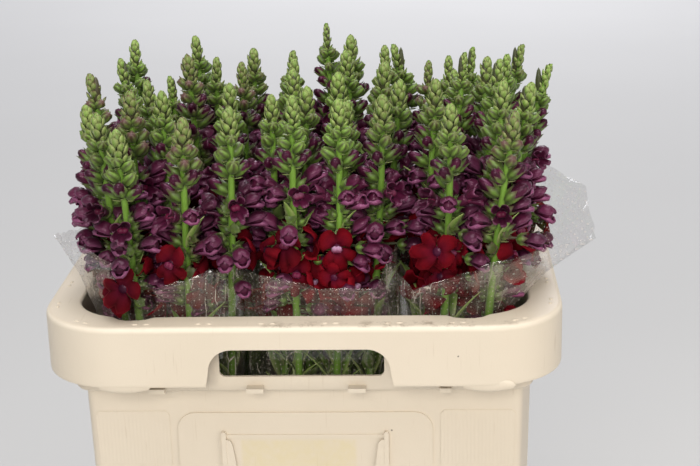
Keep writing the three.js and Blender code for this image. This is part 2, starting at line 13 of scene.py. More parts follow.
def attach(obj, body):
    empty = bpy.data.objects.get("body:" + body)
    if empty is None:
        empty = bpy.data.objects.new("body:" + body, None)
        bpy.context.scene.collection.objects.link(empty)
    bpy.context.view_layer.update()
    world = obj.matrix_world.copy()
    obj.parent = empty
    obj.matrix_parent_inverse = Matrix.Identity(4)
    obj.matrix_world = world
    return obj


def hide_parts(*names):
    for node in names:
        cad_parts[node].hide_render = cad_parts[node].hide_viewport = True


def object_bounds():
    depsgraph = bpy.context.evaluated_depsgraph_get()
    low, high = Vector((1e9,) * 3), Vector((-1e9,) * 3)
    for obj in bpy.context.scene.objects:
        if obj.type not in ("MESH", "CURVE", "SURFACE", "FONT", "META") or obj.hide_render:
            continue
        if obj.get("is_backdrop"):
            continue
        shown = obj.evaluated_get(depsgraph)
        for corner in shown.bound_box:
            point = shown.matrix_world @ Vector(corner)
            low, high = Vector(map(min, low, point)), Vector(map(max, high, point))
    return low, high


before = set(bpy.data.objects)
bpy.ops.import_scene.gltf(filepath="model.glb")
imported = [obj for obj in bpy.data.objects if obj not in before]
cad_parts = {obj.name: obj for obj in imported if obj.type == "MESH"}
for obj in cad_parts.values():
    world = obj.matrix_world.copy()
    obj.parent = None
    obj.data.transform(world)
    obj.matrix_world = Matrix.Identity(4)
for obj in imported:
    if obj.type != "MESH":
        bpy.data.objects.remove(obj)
CAD_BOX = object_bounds()
MM = 0.001

# ---- sizes of the solids, in millimetres ----
RIM_Z = 410
RIM = (225, 165, 66)          # half length, half depth and corner radius outside the rim
MOUTH = (196, 136, 48)        # the same inside the rim
WELL = (196, 136, 15)         # and at the foot of the inner wall
BODY_TOP = (200, 127, 10.5, 44)          # half length, half depth, the cut of its corners along each
BODY_FOOT = (194, 121, 10, 42)
FOOT_Z = 4
WALL = 3
SKIRT = 54                    # from here down to RAIL_FOOT all but the half widths are depths below the rim
STEP = 70                     # where the body starts, under the inner wall
GRIP_TOP = 20
WINDOW_HALF = 71
WINDOW_SILL = 55
PANEL_HALF = 112
PANEL_TOP = 94
RAIL_TOP = 113
RAIL_FOOT = 235
STEM_FOOT_Z = 10
FILM_FOOT_Z = 80
FILM_RIM_Z = 404

# One bunch a row: name, foot, half size of the foot, middle of the tips, room at the rim, then
# [flare, height over the rim] at twelve points of the sleeve's open edge.
BUNCHES = [
    ("front_left", (-118, -60), (44, 45), (-130, -57), (-187, -53, -126, 8),
     [(20, 58), (12, 26), (4, 40), (0, 34), (0, 42), (0, 36),
      (0, 40), (0, 50), (0, 46), (16, 40), (24, 52), (30, 68)]),
    ("front_middle", (10, -60), (38, 44), (31, -53), (-50, 81, -126, 8),
     [(6, 36), (10, 50), (12, 44), (0, 52), (0, 36), (0, 40),
      (0, 34), (0, 44), (0, 36), (0, 42), (0, 38), (0, 30)]),
    ("front_right", (118, -60), (35, 46), (162, -41), (84, 187, -126, 8),
     [(6, 20), (12, 36), (22, 50), (74, 66), (58, 88), (30, 96),
      (0, 44), (0, 38), (0, 34), (0, 40), (0, 30), (0, 28)]),
    ("back_left", (-92, 62), (52, 33), (-93, 66), (-187, -2, 12, 126),
     [(0, 40), (0, 34), (0, 44), (0, 36), (0, 44), (0, 50),
      (14, 62), (10, 40), (18, 56), (26, 60), (20, 44), (6, 40)]),
    ("back_right", (95, 62), (54, 30), (101, 81), (2, 187, 12, 126),
     [(0, 36), (0, 44), (0, 36), (8, 46), (18, 56), (26, 62),
      (20, 58), (10, 42), (14, 60), (0, 46), (0, 40), (0, 34)]),
]

# One stem a row: tip [x, y, height over the rim], girth of the tight tip, sideways lean.
STEMS = [
    (-185, -70, 172, 1.0, -5), (-168, -105, 173, 1.0, 0), (-148, -128, 164, 1.15, 0),
    (-145, -70, 184, 1.0, 4), (-140, -15, 181, 0.8, -3), (-120, -60, 181, 1.0, 0),
    (-93, -120, 171, 1.05, 3), (-56, -105, 176, 1.05, -3), (-65, -20, 178, 0.95, 0),
    (-196, 0, 184, 0.9, -10),
    (-24, -65, 177, 0.9, 2), (-2, -110, 186, 0.8, 3), (6, -50, 180, 1.0, 4),
    (-10, -10, 187, 0.9, -3), (35, -105, 181, 0.9, -4), (41, -75, 172, 1.0, 0),
    (30, -5, 184, 1.05, -6), (72, -85, 181, 1.0, -5), (73, 10, 190, 1.0, 0),
    (87, -35, 183, 1.0, 0),
    (118, -55, 187, 0.9, 3), (129, -115, 179, 0.95, -3), (135, 10, 181, 0.75, 0),
    (183, -115, 171, 1.0, 5), (175, -80, 190, 0.9, 0), (175, -20, 196, 0.8, 4),
    (165, 15, 191, 0.9, 0), (200, -60, 183, 1.0, 6), (221, -8, 188, 0.7, 18),
    (144, -15, 201, 0.6, 5),
    (-178, 55, 186, 0.75, -5), (-170, 95, 196, 0.8, 6), (-132, 60, 169, 0.6, -6),
    (-108, 20, 197, 0.95, -3), (-112, 100, 199, 0.8, -6), (-88, 75, 183, 0.7, 3),
    (-61, 40, 185, 0.75, -4), (-56, 100, 186, 0.9, -3), (-16, 85, 186, 0.7, 0),
    (-11, 35, 188, 0.85, 0),
    (14, 110, 207, 0.55, 3), (38, 95, 198, 0.95, 3), (34, 50, 192, 0.9, -3),
    (71, 60, 194, 0.75, 0), (77, 100, 187, 0.8, -20), (112, 60, 179, 0.65, 0),
    (131, 85, 178, 0.7, -4), (155, 100, 183, 0.6, 3), (185, 55, 186, 0.7, 0),
    (202, 95, 187, 0.7, 10),
]
BRONZE = {3, 6, 9, 23, 33, 36, 45}       # stems whose tips are tinged brown, by row
CLOSER = 0.45                 # how far a bunch draws together at its foot
BEND = 140                    # the spike bends over this length below its tip
SUNK = 0.72                   # an organ's foot stands this share of the stem's radius from its axis
MOUTH_ROOM = (190, 129)       # what stands lower than the rim stays within this
INSIDE = (191, 123, 55)       # half length, half depth and corner radius of the room for leaves


# ---- growth: the solids' own rule, so that every organ stands where its solid stands ----
def dice(seed):
    """A small even-handed number generator, so that every run is the same."""
    state = seed * 7919 + 17

    def roll():
        nonlocal state
        state = state * 16807 % 2147483647
        return state / 2147483647
    return roll


def add(a, b, k=1):
    return (a[0] + b[0] * k, a[1] + b[1] * k, a[2] + b[2] * k)


def cross(a, b):
    return (a[1] * b[2] - a[2] * b[1], a[2] * b[0] - a[0] * b[2], a[0] * b[1] - a[1] * b[0])


def girth_at(depth):
    return min(3.8, 2.6 + depth * 0.007)


class Stem:
    """One stem's line, its rings, and the organs that its solid carries."""
    def __init__(self, index, row):
        tip_x, tip_y, over, self.girth, self.lean = row
        _, foot, _, middle, _, _ = BUNCHES[index // 10]
        self.index, self.front, self.leafy = index, tip_y < -90, index % 3 == 0
        self.roll = dice(index + 1)
        self.tip = (tip_x - self.lean, tip_y, RIM_Z + over)
        self.foot = (foot[0] + (self.tip[0] - middle[0]) * CLOSER,
                     foot[1] + (self.tip[1] - middle[1]) * CLOSER, STEM_FOOT_Z)
        self.bow = (self.roll() - 0.5) * 8
        self.length = self.tip[2] - STEM_FOOT_Z
        self.turn = self.roll() * math.pi / 2
        self.organs = []
        self.rings = self.lay_rings()

    def axis(self, depth):
        t = depth / self.length
        bend = ((BEND - depth) / BEND) ** 2 if depth < BEND else 0
        x, y, z = (a + (b - a) * t for a, b in zip(self.tip, self.foot))
        return (x + self.lean * bend, y + self.bow * bend, z)

    def lay_rings(self):
        """Depth, radius, turn and what grows below it, for each ring of the stem."""
        rings, turn = [], self.turn

        def ring(depth, radius, carries):
            nonlocal turn
            turn += math.pi / 4 if carries else 0
            rings.append((depth, radius, carries, turn))
        for depth, radius, carries in ((2.5, 2.2, "scale"), (9, 3.6, "scale"), (16, 4.2, "scale"),
                                       (24, 3.4, "bud")):
            ring(depth, radius * self.girth, carries)
        below_tip = [(38, "bud"), (53, "bud"), (69, "bud"), (86, "flower"), (95, ""), (127, "flower"),
                     (136, "")]
        below_tip += [(163, "flower"), (172, "")] if self.front else []
        below_tip += [(212, "leaf"), (222, "")] if self.leafy else []
        for depth, carries in (*below_tip, (self.length, "")):
            ring(depth, girth_at(depth), carries)
        return rings

    def bands(self, carries):
        return [k for k, ring in enumerate(self.rings) if ring[2] == carries]


def organ_frame(stem, k, side, yaw, rise):
    """Where an organ leaves its cell between two rings: the spot, then right, up and outward."""
    depth, radius, turn = ((stem.rings[k][i] + stem.rings[k + 1][i]) / 2 for i in (0, 1, 3))
    return frame_from(stem, depth, radius * SUNK, turn + (side + 0.5) * math.pi / 2, yaw, rise)


def frame_from(stem, depth, radius, angle, yaw, rise):
    """The same for any depth and angle: rise tilts the way out upwards and yaw turns it sideways."""
    at = add(stem.axis(depth), (math.cos(angle), math.sin(angle), 0), radius)
    way = angle + yaw
    right = (-math.sin(way), math.cos(way), 0)
    out = (math.cos(way) * math.cos(rise), math.sin(way) * math.cos(rise), math.sin(rise))
    return at, right, cross(out, right), out


def place(f, x, y, z):
    """A spot in the frame f."""
    return add(add(add(f[0], f[1], x), f[2], y), f[3], z)


CELL = 20                     # the crowd's balls are kept by cells of this size
CLEAR = 0.6                   # the solids' organs keep this far from each other
FILM_STEP, FILM_BALL, FILM_FROM = 7, 3, 290   # spacing and radius of the film's balls, and the lowest
crowd = {}


def cell_of(at):
    return tuple(math.floor(v / CELL) for v in at)


def remember(at, r, owner, axis=False, root=False):
    crowd.setdefault(cell_of(at), []).append((at[0], at[1], at[2], r, owner, axis, root))


def is_free(balls, clear, film_clear=None):
    """True if no ball comes nearer than clear to another organ's, or than film_clear to a sleeve's."""
    for (x, y, z), r, owner, root in balls:
        if z - r < RIM_Z + 4 and (abs(x) > MOUTH_ROOM[0] or abs(y) > MOUTH_ROOM[1]):
            return False
        i, j, k = cell_of((x, y, z))
        for a in (i - 1, i, i + 1):
            for b in (j - 1, j, j + 1):
                for c in (k - 1, k, k + 1):
                    for ox, oy, oz, other_r, other, axis, other_root in crowd.get((a, b, c), ()):
                        if other == owner and (axis or (root and other_root)):
                            continue
                        by_film = film_clear is not None and isinstance(other, str)
                        reach = other_r + r + (film_clear if by_film else clear)
                        dx, dy, dz = ox - x, oy - y, oz - z
                        if dx * dx + dy * dy + dz * dz < reach * reach:
                            return False
    return True


FLOWER_BALLS = [(0, 0, 6, 5.5, True), (0, 0, 13, 6.5, False), (0, 0, 18, 9.2, False),
                (-9, 10.5, 17, 6.4, False), (9, 10.5, 17, 6.4, False), (-8, -7, 17, 6.6, False),
                (8, -7, 17, 6.6, False), (0, -10.5, 16, 6.8, False)]


def balls_of(kind, f, s, w, owner):
    """The balls that stand for an organ of size s and half width w in the crowd."""
    if kind == "flower":
        spots = [(x * s, y * s, z * s, r * s, root) for x, y, z, r, root in FLOWER_BALLS]
    elif kind == "leaf":
        spots = [(0, 0, t * s, max(1.5, 6.5 * (1 - abs(t - 0.5) * 1.4)), t < 0.3)
                 for t in (0.2, 0.35, 0.5, 0.65, 0.8, 0.95)]
    else:
        spots = [(0, 0, s * 0.4, w * 1.1, True), (0, 0, s * 0.62, w * 1.2, False),
                 (0, 0, s * 0.85, w * 0.6, False)]
    return [(place(f, x, y, z), r, owner, root) for x, y, z, r, root in spots]


def claim(balls, clear=CLEAR, film_clear=None):
    """True if these balls are free, and from then on they are taken."""
    if not is_free(balls, clear, film_clear):
        return False
    for at, r, owner, root in balls:
        remember(at, r, owner, root=root)
    return True


def try_organ(stem, kind, k, sides, yaws, rise, sizes, width):
    """Tries turns and sizes in a drawn order and keeps the first that touches nothing."""
    taken = {side for _, other, side, *_ in stem.organs if other == k}
    options = [(stem.roll(), side, yaw) for side in sides if side not in taken for yaw in yaws]
    options.sort(key=lambda option: option[0])
    for size in sizes:
        for _, side, yaw in options:
            f = organ_frame(stem, k, side, yaw, rise)
            if claim(balls_of(kind, f, size, width, stem.index)):
                stem.organs.append((kind, k, side, f, size, width))
                return


EDGE_SPOTS = [(-0.72, -1), (0, -1), (0.72, -1), (1, -0.72), (1, 0), (1, 0.72),
              (0.72, 1), (0, 1), (-0.72, 1), (-1, 0.72), (-1, 0), (-1, -0.72)]


def inside_mouth(x, y, half_x=188, half_y=127, r=50):
    cx, cy = math.copysign(half_x - r, x), math.copysign(half_y - r, y)
    if abs(x) <= half_x - r or abs(y) <= half_y - r:
        return x, y
    far = math.hypot(x - cx, y - cy)
    return (x, y) if far <= r else (cx + (x - cx) * r / far, cy + (y - cy) * r / far)


def in_container(x, y, z, margin):
    """True where the container's inside leaves this margin to its wall."""
    half_x, half_y, r = INSIDE
    dx, dy = abs(x) - half_x + r, abs(y) - half_y + r
    return math.hypot(max(0, dx), max(0, dy)) + min(0, max(dx, dy)) < r - margin


def sleeve_levels(bunch):
    """The sleeve's rings of twelve points at its foot, at the rim, half way up and at its edge."""
    _, foot_at, foot_half, _, (x0, x1, y0, y1), edge = bunch
    mx, my = (x0 + x1) / 2, (y0 + y1) / 2
    rim = [inside_mouth(mx + u * (x1 - x0) / 2, my + v * (y1 - y0) / 2) for u, v in EDGE_SPOTS]
    foot = [(foot_at[0] + u * foot_half[0] - i % 2, foot_at[1] + v * foot_half[1], FILM_FOOT_Z)
            for i, (u, v) in enumerate(EDGE_SPOTS)]
    outward = []
    for x, y in rim:
        dx, dy = ((x - mx) / (x1 - x0)) ** 3, ((y - my) / (y1 - y0)) ** 3
        far = math.hypot(dx, dy)
        outward.append((dx / far, dy / far))

    def level(share, bulge):
        return [(x + o[0] * flare * bulge, y + o[1] * flare * bulge,
                 FILM_RIM_Z + (RIM_Z - FILM_RIM_Z + height) * share)
                for (x, y), o, (flare, height) in zip(rim, outward, edge)]
    return [foot, level(0, 0), level(0.5, 0.4), level(1, 1)], outward


def remember_sleeve(bunch):
    """Adds balls all over a sleeve's film, where flowers may come near it."""
    shape, _ = sleeve_levels(bunch)
    for low, high in zip(shape, shape[1:]):
        for i in range(12):
            j = (i + 1) % 12
            for a, b, c in ((low[i], low[j], high[j]), (low[i], high[j], high[i])):
                n = math.ceil(max(math.dist(a, b), math.dist(b, c), math.dist(c, a)) / FILM_STEP)
                for u in range(n + 1):
                    for v in range(n - u + 1):
                        at = tuple((a[m] * (n - u - v) + b[m] * u + c[m] * v) / n for m in range(3))
                        if at[2] > FILM_FROM:
                            remember(at, FILM_BALL, bunch[0])


def grow_all():
    """All stems, with the organs that found room: first the open flowers tier by tier, then the rest."""
    stems = [Stem(i, row) for i, row in enumerate(STEMS)]
    for stem in stems:
        for depth in (5, 11, 17, 23):
            remember(stem.axis(depth), 8.2 * stem.girth, stem.index, axis=True)
        for depth in range(28, 330, 5):
            remember(stem.axis(depth), girth_at(depth) + 0.4, stem.index, axis=True)
    for bunch in BUNCHES:
        remember_sleeve(bunch)
    for tier, most in ((0, 1), (1, 1), (2, 1), (0, 2), (1, 2)):
        for stem in stems:
            bands = stem.bands("flower")
            if tier >= len(bands) or sum(o[1] == bands[tier] for o in stem.organs) >= most:
                continue
            if tier == 1 and most == 2 and abs(stem.axis(0)[1]) < 50:
                continue
            rise = (0.42 - 0.16 * tier) + (stem.roll() - 0.5) * 0.2
            try_organ(stem, "flower", bands[tier], (0, 1, 2, 3), (-0.5, 0, 0.5), rise,
                      (1, 0.9, 0.8, 0.7), 0)
    for stem in stems:
        stout = 0.7 + 0.3 * stem.girth
        for k in stem.bands("flower"):
            try_organ(stem, "corolla", k, (0, 1, 2, 3), (-0.4, 0, 0.4), 0.5, (20, 17), 5)
        for tier, k in enumerate(stem.bands("bud")):
            rise = (0.62, 0.69, 0.68, 0.62)[tier]
            full, width = (11 + 3.3 * tier) * stout, (4.2 + 0.4 * tier) * stout
            for side in ((1, 3) if tier % 2 else (0, 2)):
                try_organ(stem, "corolla" if tier > 2 else "bud", k, (side,),
                          (0, -0.3, 0.3) if tier else (0,), rise + (stem.roll() - 0.5) * 0.2,
                          (full, full * 0.85), width)
        for k in stem.bands("leaf"):
            for _ in range(2):
                try_organ(stem, "leaf", k, (0, 1, 2, 3), (-0.4, 0, 0.4), 1.15, (62, 52, 44), 6.5)
    return stems


# ---- shapes ----
# An organ is built once, in millimetres, with x to its right, y up and z along it, and stamped wherever it
# grows. along runs from its foot to its tip, blush tints it, edge marks furrows above zero and margins below
# it, and tone and bronze differ by stamp. The finishes paint the furrows darker, as painted shade, and the
# greens darker towards their feet.
LAYERS = ("along", "blush", "edge", "tone", "bronze")
CARRIER = bpy.data.meshes.new("carrier")


def blank():
    """An empty shape with the layers that the petals' and leaves' finishes read."""
    shape = bmesh.new()
    for name in LAYERS:
        shape.verts.layers.float.new(name)
    return shape


def mark(shape, vert, *values):
    for name, value in zip(LAYERS, values):
        vert[shape.verts.layers.float[name]] = value


def smooth(shape, finish=0):
    bmesh.ops.recalc_face_normals(shape, faces=shape.faces[:])
    for face in shape.faces:
        face.smooth = True
        face.material_index = finish
    return shape


def made_object(name, shape, *materials):
    """An object of this shape, in the scene."""
    mesh = bpy.data.meshes.new(name)
    shape.to_mesh(mesh)
    shape.free()
    for material in materials:
        mesh.materials.append(material)
    made = bpy.data.objects.new(name, mesh)
    bpy.context.collection.objects.link(made)
    return made


def add_shape(whole, shape):
    shape.to_mesh(CARRIER)
    whole.from_mesh(CARRIER)
    shape.free()


def pod(sides, rings, rule, finish=0):
    """A closed round form. rule(ring, angle) gives radius, z, the shift up, along, blush and edge."""
    shape = blank()
    bmesh.ops.create_uvsphere(shape, u_segments=sides, v_segments=rings, radius=1)
    for vert in shape.verts:
        k = round(math.acos(max(-1, min(1, -vert.co.z))) / math.pi * rings)
        angle = math.atan2(vert.co.y, vert.co.x)
        radius, z, up, *marks = rule(k, angle)
        if k in (0, rings):
            radius = 0
        vert.co = (radius * math.cos(angle), radius * math.sin(angle) + up, z)
        mark(shape, vert, *marks)
    return smooth(shape, finish)


def blade(across, outward, rule, thick, finish=0):
    """A thin closed blade from a grid. rule(u, v), u from -1 to 1 and v from 0 to 1, gives x, y, z,
    blush and perhaps how deep in a furrow the spot lies."""
    shape = blank()
    bmesh.ops.create_grid(shape, x_segments=across, y_segments=outward, size=1)
    for vert in shape.verts:
        u, v = vert.co.x, (vert.co.y + 1) / 2
        x, y, z, blush, *furrow = rule(u, v)
        vert.co = (x, y, z)
        mark(shape, vert, v, blush, furrow[0] if furrow else -max(abs(u), v ** 3) ** 4)
    bmesh.ops.recalc_face_normals(shape, faces=shape.faces[:])
    bmesh.ops.solidify(shape, geom=shape.faces[:], thickness=thick)
    return smooth(shape, finish)


def joined(*shapes):
    whole = blank()
    for shape in shapes:
        add_shape(whole, shape)
    return whole


def bract_blade(broad, hook):
    """A pointed spoon, 10 long, that lies over the tip or under a bud."""
    def rule(u, v):
        x = u * broad * (0.35 + 2 * v) * (1 - v) ** 0.75
        y = 0.17 * x * x + 0.3 * abs(x) - 1.5 * math.sin(2.8 * v) + hook * v * v
        return x, y, 10 * v, 0.1 + 0.9 * v * v * v
    return blade(2, 4, rule, 0.45)


def core():
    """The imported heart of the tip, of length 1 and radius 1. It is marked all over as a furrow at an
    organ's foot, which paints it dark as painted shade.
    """
    def rule(k, angle):
        return (0, 0.7, 1, 0.95, 0.55, 0)[k], (0, 0.1, 0.35, 0.65, 0.9, 1)[k], 0, 0.1, 0.3, 1
    return pod(6, 5, rule)


def green_bud():
    """A bud of length 1 and radius 1, still shut in its five sepals."""
    def rule(k, angle):
        lobe = math.sin(5 * angle)            # 1 on a sepal's back, -1 in the furrow between two
        radius = (0, 0.6, 0.98, 0.98, 0.62, 0)[k] * (1 + (0, 0.04, 0.07, 0.1, 0.12, 0)[k] * lobe)
        z = (0, 0.08, 0.36, 0.66, 0.92, 0.98)[k] + (0, 0, 0, 0.04, 0.06, 0)[k] * lobe
        # furrow marks the furrows between the sepals, which the green finish paints dark as painted shade
        blush, furrow = (0, 0, 0.15, 0.3, 0.8, 1)[k], (0.5 - 0.5 * lobe) * (0.3, 0.5, 0.8, 1, 1, 1)[k]
        return radius, z, -0.05 * z * z, z, blush, furrow
    return pod(10, 5, rule)


def calyx(cover, flare):
    """The green cup round a bud of length 1 and radius 1: five sepals that end in points."""
    def rule(k, angle):
        lobe = math.sin(5 * angle)
        if k == 3:                            # the points
            return flare * (1 + 0.1 * lobe), cover * (1 + 0.3 * lobe), 0, 1, 0.3 + 0.5 * max(0, lobe), 1
        # inside the cup the sepals are marked as a furrow and painted dark: painted shade
        if k == 4:                            # behind them, inside the cup
            return flare * 0.8, cover * 0.8, 0, 0.6, 0.4, 0.6
        radius, z = (0, 0.62, 1.0, 0, 0, 0)[k], (0, 0.06, cover * 0.5, 0, 0, 0.3)[k]
        return radius * (1 + 0.09 * lobe), z, 0, (0, 0.1, 0.5, 0, 0, 0)[k], 0.05, 0.45 - 0.45 * lobe
    return pod(10, 5, rule)


def folded_petals(hook, crease):
    """What shows of a shut flower of length 1 and radius 1: lips wound over each other."""
    def rule(k, angle):
        t = (0, 0.1, 0.32, 0.54, 0.76, 0.92, 1)[k]
        radius = (0, 0.6, 0.86, 0.98, 0.9, 0.52, 0)[k]
        wound = math.cos(2 * angle - 2.6 * t)
        radius *= 1 + crease * wound * (0, 0, 0.5, 1, 1.3, 1.2, 0)[k]
        # pale streaks on the ridges of the wound lips, partly painted highlight, and dark marks in the
        # hollows between them, painted shade
        streak = max(0, wound) ** 3 * (0, 0.3, 0.8, 1, 0.7, 0.5, 0.3)[k]
        return radius, 0.1 + 0.9 * t, -hook * t * t, t, streak, max(0, -wound) ** 2 * t
    return pod(10, 6, rule)


def corolla(gape, nod):
    """A coloured flower before it opens, of length 1 and radius 1: a tube that swells to a nodding
    head, its upper lip wrapped over its lower one."""
    def nodding(radius, angle, z, blush):
        return radius * math.cos(angle), radius * math.sin(angle) - nod * min(1, z) ** 3, z, blush

    def tube(k, angle):
        t = (0, 0.08, 0.34, 0.58, 0.76, 0.86, 0.9)[k]
        radius = (0, 0.4, 0.52, 0.8, 0.93, 0.62, 0)[k]
        side = abs(math.cos(angle))
        radius *= 1 - 0.16 * max(0, side - 0.7) / 0.3 * (k > 2)
        chin_side = max(0, -math.sin(angle)) * (k > 3)
        streak = max(0, 1 - abs(side - 0.5) * 3) * (0, 0.2, 0.6, 0.8, 0.3, 0, 0)[k]
        along = (0, 0.1, 0.3, 0.5, 0.5, 0.4, 0.3)[k]
        return radius, t, -nod * t ** 3, along, max(streak, 0.7 * chin_side), side ** 4 * (k == 3)

    def hood(u, v):
        k, parted = round(4 * v), 0.16 * v * v * max(0, 1 - 5 * abs(u))
        angle = math.pi / 2 + u * (1.75 - 0.35 * v)
        z = (0.48, 0.66, 0.84, 0.98, 1.04)[k] - 0.1 * u * u - parted
        radius = (0.74, 0.95, 1.06, 0.92, 0.62)[k] * (1 + 0.05 * math.cos(9 * u))
        return nodding(radius, angle, z, 0.5 * abs(u) ** 4 + 0.4 * (k == 4) + 3 * parted)

    def chin(u, v):
        k, groove = round(3 * v), 0.12 * max(0, 1 - 4 * abs(u))
        angle, z = -math.pi / 2 + u * 1.15, (0.5, 0.74, 0.94, 1.0 + 0.06 * gape)[k] - 0.12 * u * u
        radius = (0.78, 1.0 + gape, 0.96 + gape, 0.5 + gape)[k] * (1 - groove)
        return nodding(radius, angle, z, (0.05, 0.3, 0.75, 0.6)[k])
    return joined(pod(8, 6, tube), blade(8, 4, hood, 0.05), blade(6, 3, chin, 0.05))


THROAT = 3.9                                  # radius at which the lobes leave the throat, 14 mm up


def lip(middle, half, reach, notches, curl, fold, seed, finish):
    """Part of the flower's face: a fan of soft lobes that starts at the throat, bends back and hangs."""
    def rule(u, v):
        angle = middle + half * u
        lobe = abs(math.cos(notches * math.pi / 2 * (u + (0 if notches % 2 else 0.5)))) ** 0.5
        far = reach * (0.66 + 0.34 * lobe) * (1 - 0.08 * abs(u) ** 3)
        r = THROAT + (far - THROAT) * v
        wave = fold * v * math.sin(3.6 * u + seed) + 0.4 * fold * v * v * math.sin(9 * u + 2.3 * seed)
        sag = 3.4 * v * v * (1 + 0.4 * math.sin(2 * u + seed))
        z = 14 + 7 * v - curl * v * v + wave + 3.2 * lobe * v * (1.3 - v)
        # furrow marks the notches between lobes, which the finish paints dark as painted shade, and below
        # zero the lobes' rims
        furrow = 0.8 * (1 - lobe) * v * (1.6 - v) - 0.6 * lobe * v ** 6
        x, y = r * math.cos(angle) * (1 - 0.1 * v * v), r * math.sin(angle) - sag
        return x, y, z, 0.6 * (1 - v) ** 2, furrow
    return blade(12, 4, rule, 0.4, finish)


def open_flower(seed, spread=1, finish=1):
    """A snapdragon flower: tube, two upper lobes, three lower lobes and the palate that shuts it. With
    a smaller spread it has only begun to open."""
    def tube(k, angle):
        t = (0, 0.1, 0.4, 0.75, 1, 0.8)[k]
        radius = (0, 2.8, 3.9, 4.8, 4.9, 0)[k]
        return radius, 2 + 12.5 * t, 0, t, max(0, abs(math.cos(angle)) - 0.4) * (1 - 0.6 * t), 0

    def cheek(k, angle):
        top = 0.5 + 0.5 * math.sin(angle)
        radius, z, pale = (0, 2.4, 3.3, 2.6, 0)[k], (11, 13, 15.4, 17.4, 18.2)[k], (0, 0.1, 0.5, 0.8, 0.8)[k]
        # beneath, the swellings are marked as a furrow and painted darker: painted shade; on top they pale,
        # their own colour
        return radius, z, 0.6, 1, pale * top, 0.3 - 0.3 * top

    cheeks = [pod(7, 4, cheek, 3) for _ in range(2)]
    for side, one in zip((-1, 1), cheeks):
        bmesh.ops.translate(one, vec=(side * 1.6, -1.6, 0), verts=one.verts[:])
    cup = calyx(0.36, 1.3)
    bmesh.ops.scale(cup, vec=(4.6, 4.6, 22), verts=cup.verts[:])
    swing, bent = math.sin(3 * seed), 3 * spread - 2
    upper = lip(math.pi / 2 + 0.12 * swing, 1.35, (20 + swing) * spread, 2,
                (13 + 4 * math.sin(seed)) * bent, 4.2 * spread, seed, finish)
    lower = lip(-math.pi / 2 + 0.15 * swing, 1.55, (19.5 - swing) * spread, 3,
                (15 + 5 * math.cos(seed)) * bent, 4.4 * spread, seed * 2, finish)
    return joined(cup, pod(8, 5, tube, 2), *cheeks, upper, lower)


def loose_lobe(seed):
    """One velvet lobe seen between others: a broad hanging fold, 10 long."""
    def rule(u, v):
        half = 6.4 * math.sin(math.pi * (0.12 + 0.76 * v)) ** 0.6
        y = -2.5 * math.sin(2.4 * v) + 1.6 * math.sin(3.2 * u + seed) * (0.4 + v) - 0.7 * u * u
        return u * half, y, 10 * v + 0.9 * math.cos(4 * u + seed) * v, 0
    return blade(4, 4, rule, 0.35, 1)


def leaf(fold):
    """A lance-shaped leaf of length 1: broadest before the middle and folded at its midrib."""
    def rule(u, v):
        half = 0.105 * math.sin(math.pi * min(1, v * 0.97 + 0.03) ** 0.75) + 0.004
        return u * half, 0.08 * v - 0.22 * v * v + fold * abs(u) * half, v, 0
    return blade(2, 7, rule, 0.008)


TIP_BRACT, LOW_BRACT, BUD_BRACT = (bract_blade(*form) for form in ((4.0, 1.6), (3.5, 0.5), (2.5, -1.2)))
CORE, GREEN_BUD = core(), green_bud()
LEAVES = [leaf(0.35), leaf(0.6)]
CUPS = [None, calyx(0.74, 0.9), calyx(0.56, 1.04), calyx(0.34, 1.1)]
SHUT = [None, folded_petals(0.05, 0.05), folded_petals(0.25, 0.08)]
COROLLAS = [corolla(0, 0.45), corolla(0.15, 0.7)]
FLOWERS = [open_flower(seed) for seed in (0.4, 1.9, 3.3, 4.8)]
HALF_OPEN = [open_flower(seed, 0.58, 2) for seed in (0.9, 2.6)]
LOOSE = [loose_lobe(seed) for seed in (0.3, 2.1, 4.0)]


# ---- finishes ----
def linear(code):
    """A linear colour from an sRGB hex code."""
    parts = [int(code[i:i + 2], 16) / 255 for i in (1, 3, 5)]
    return (*[p / 12.92 if p <= 0.04045 else ((p + 0.055) / 1.055) ** 2.4 for p in parts], 1)


def node(tree, kind, sockets=None, **settings):
    """Adds one shader node: its settings, then its inputs by name or number, each a value, a socket to
    link, or another node, whose first working output is linked."""
    made = tree.nodes.new("ShaderNode" + kind)
    for name, value in settings.items():
        setattr(made, name, value)
    for key, value in (sockets or {}).items():
        if isinstance(value, bpy.types.Node):
            value = next(socket for socket in value.outputs if socket.enabled)
        if isinstance(value, bpy.types.NodeSocket):
            tree.links.new(value, made.inputs[key])
        else:
            made.inputs[key].default_value = linear(value) if isinstance(value, str) else value
    return made


def new_finish(name, *layers):
    """A fresh material, its node function, the spot in object coordinates and what each layer says."""
    material = bpy.data.materials.new(name)
    material.use_nodes = True
    material.node_tree.nodes.clear()
    add_node = partial(node, material.node_tree)
    marks = [add_node("Attribute", attribute_name=layer).outputs["Fac"] for layer in layers]
    return material, add_node, add_node("TexCoord").outputs["Object"], *marks


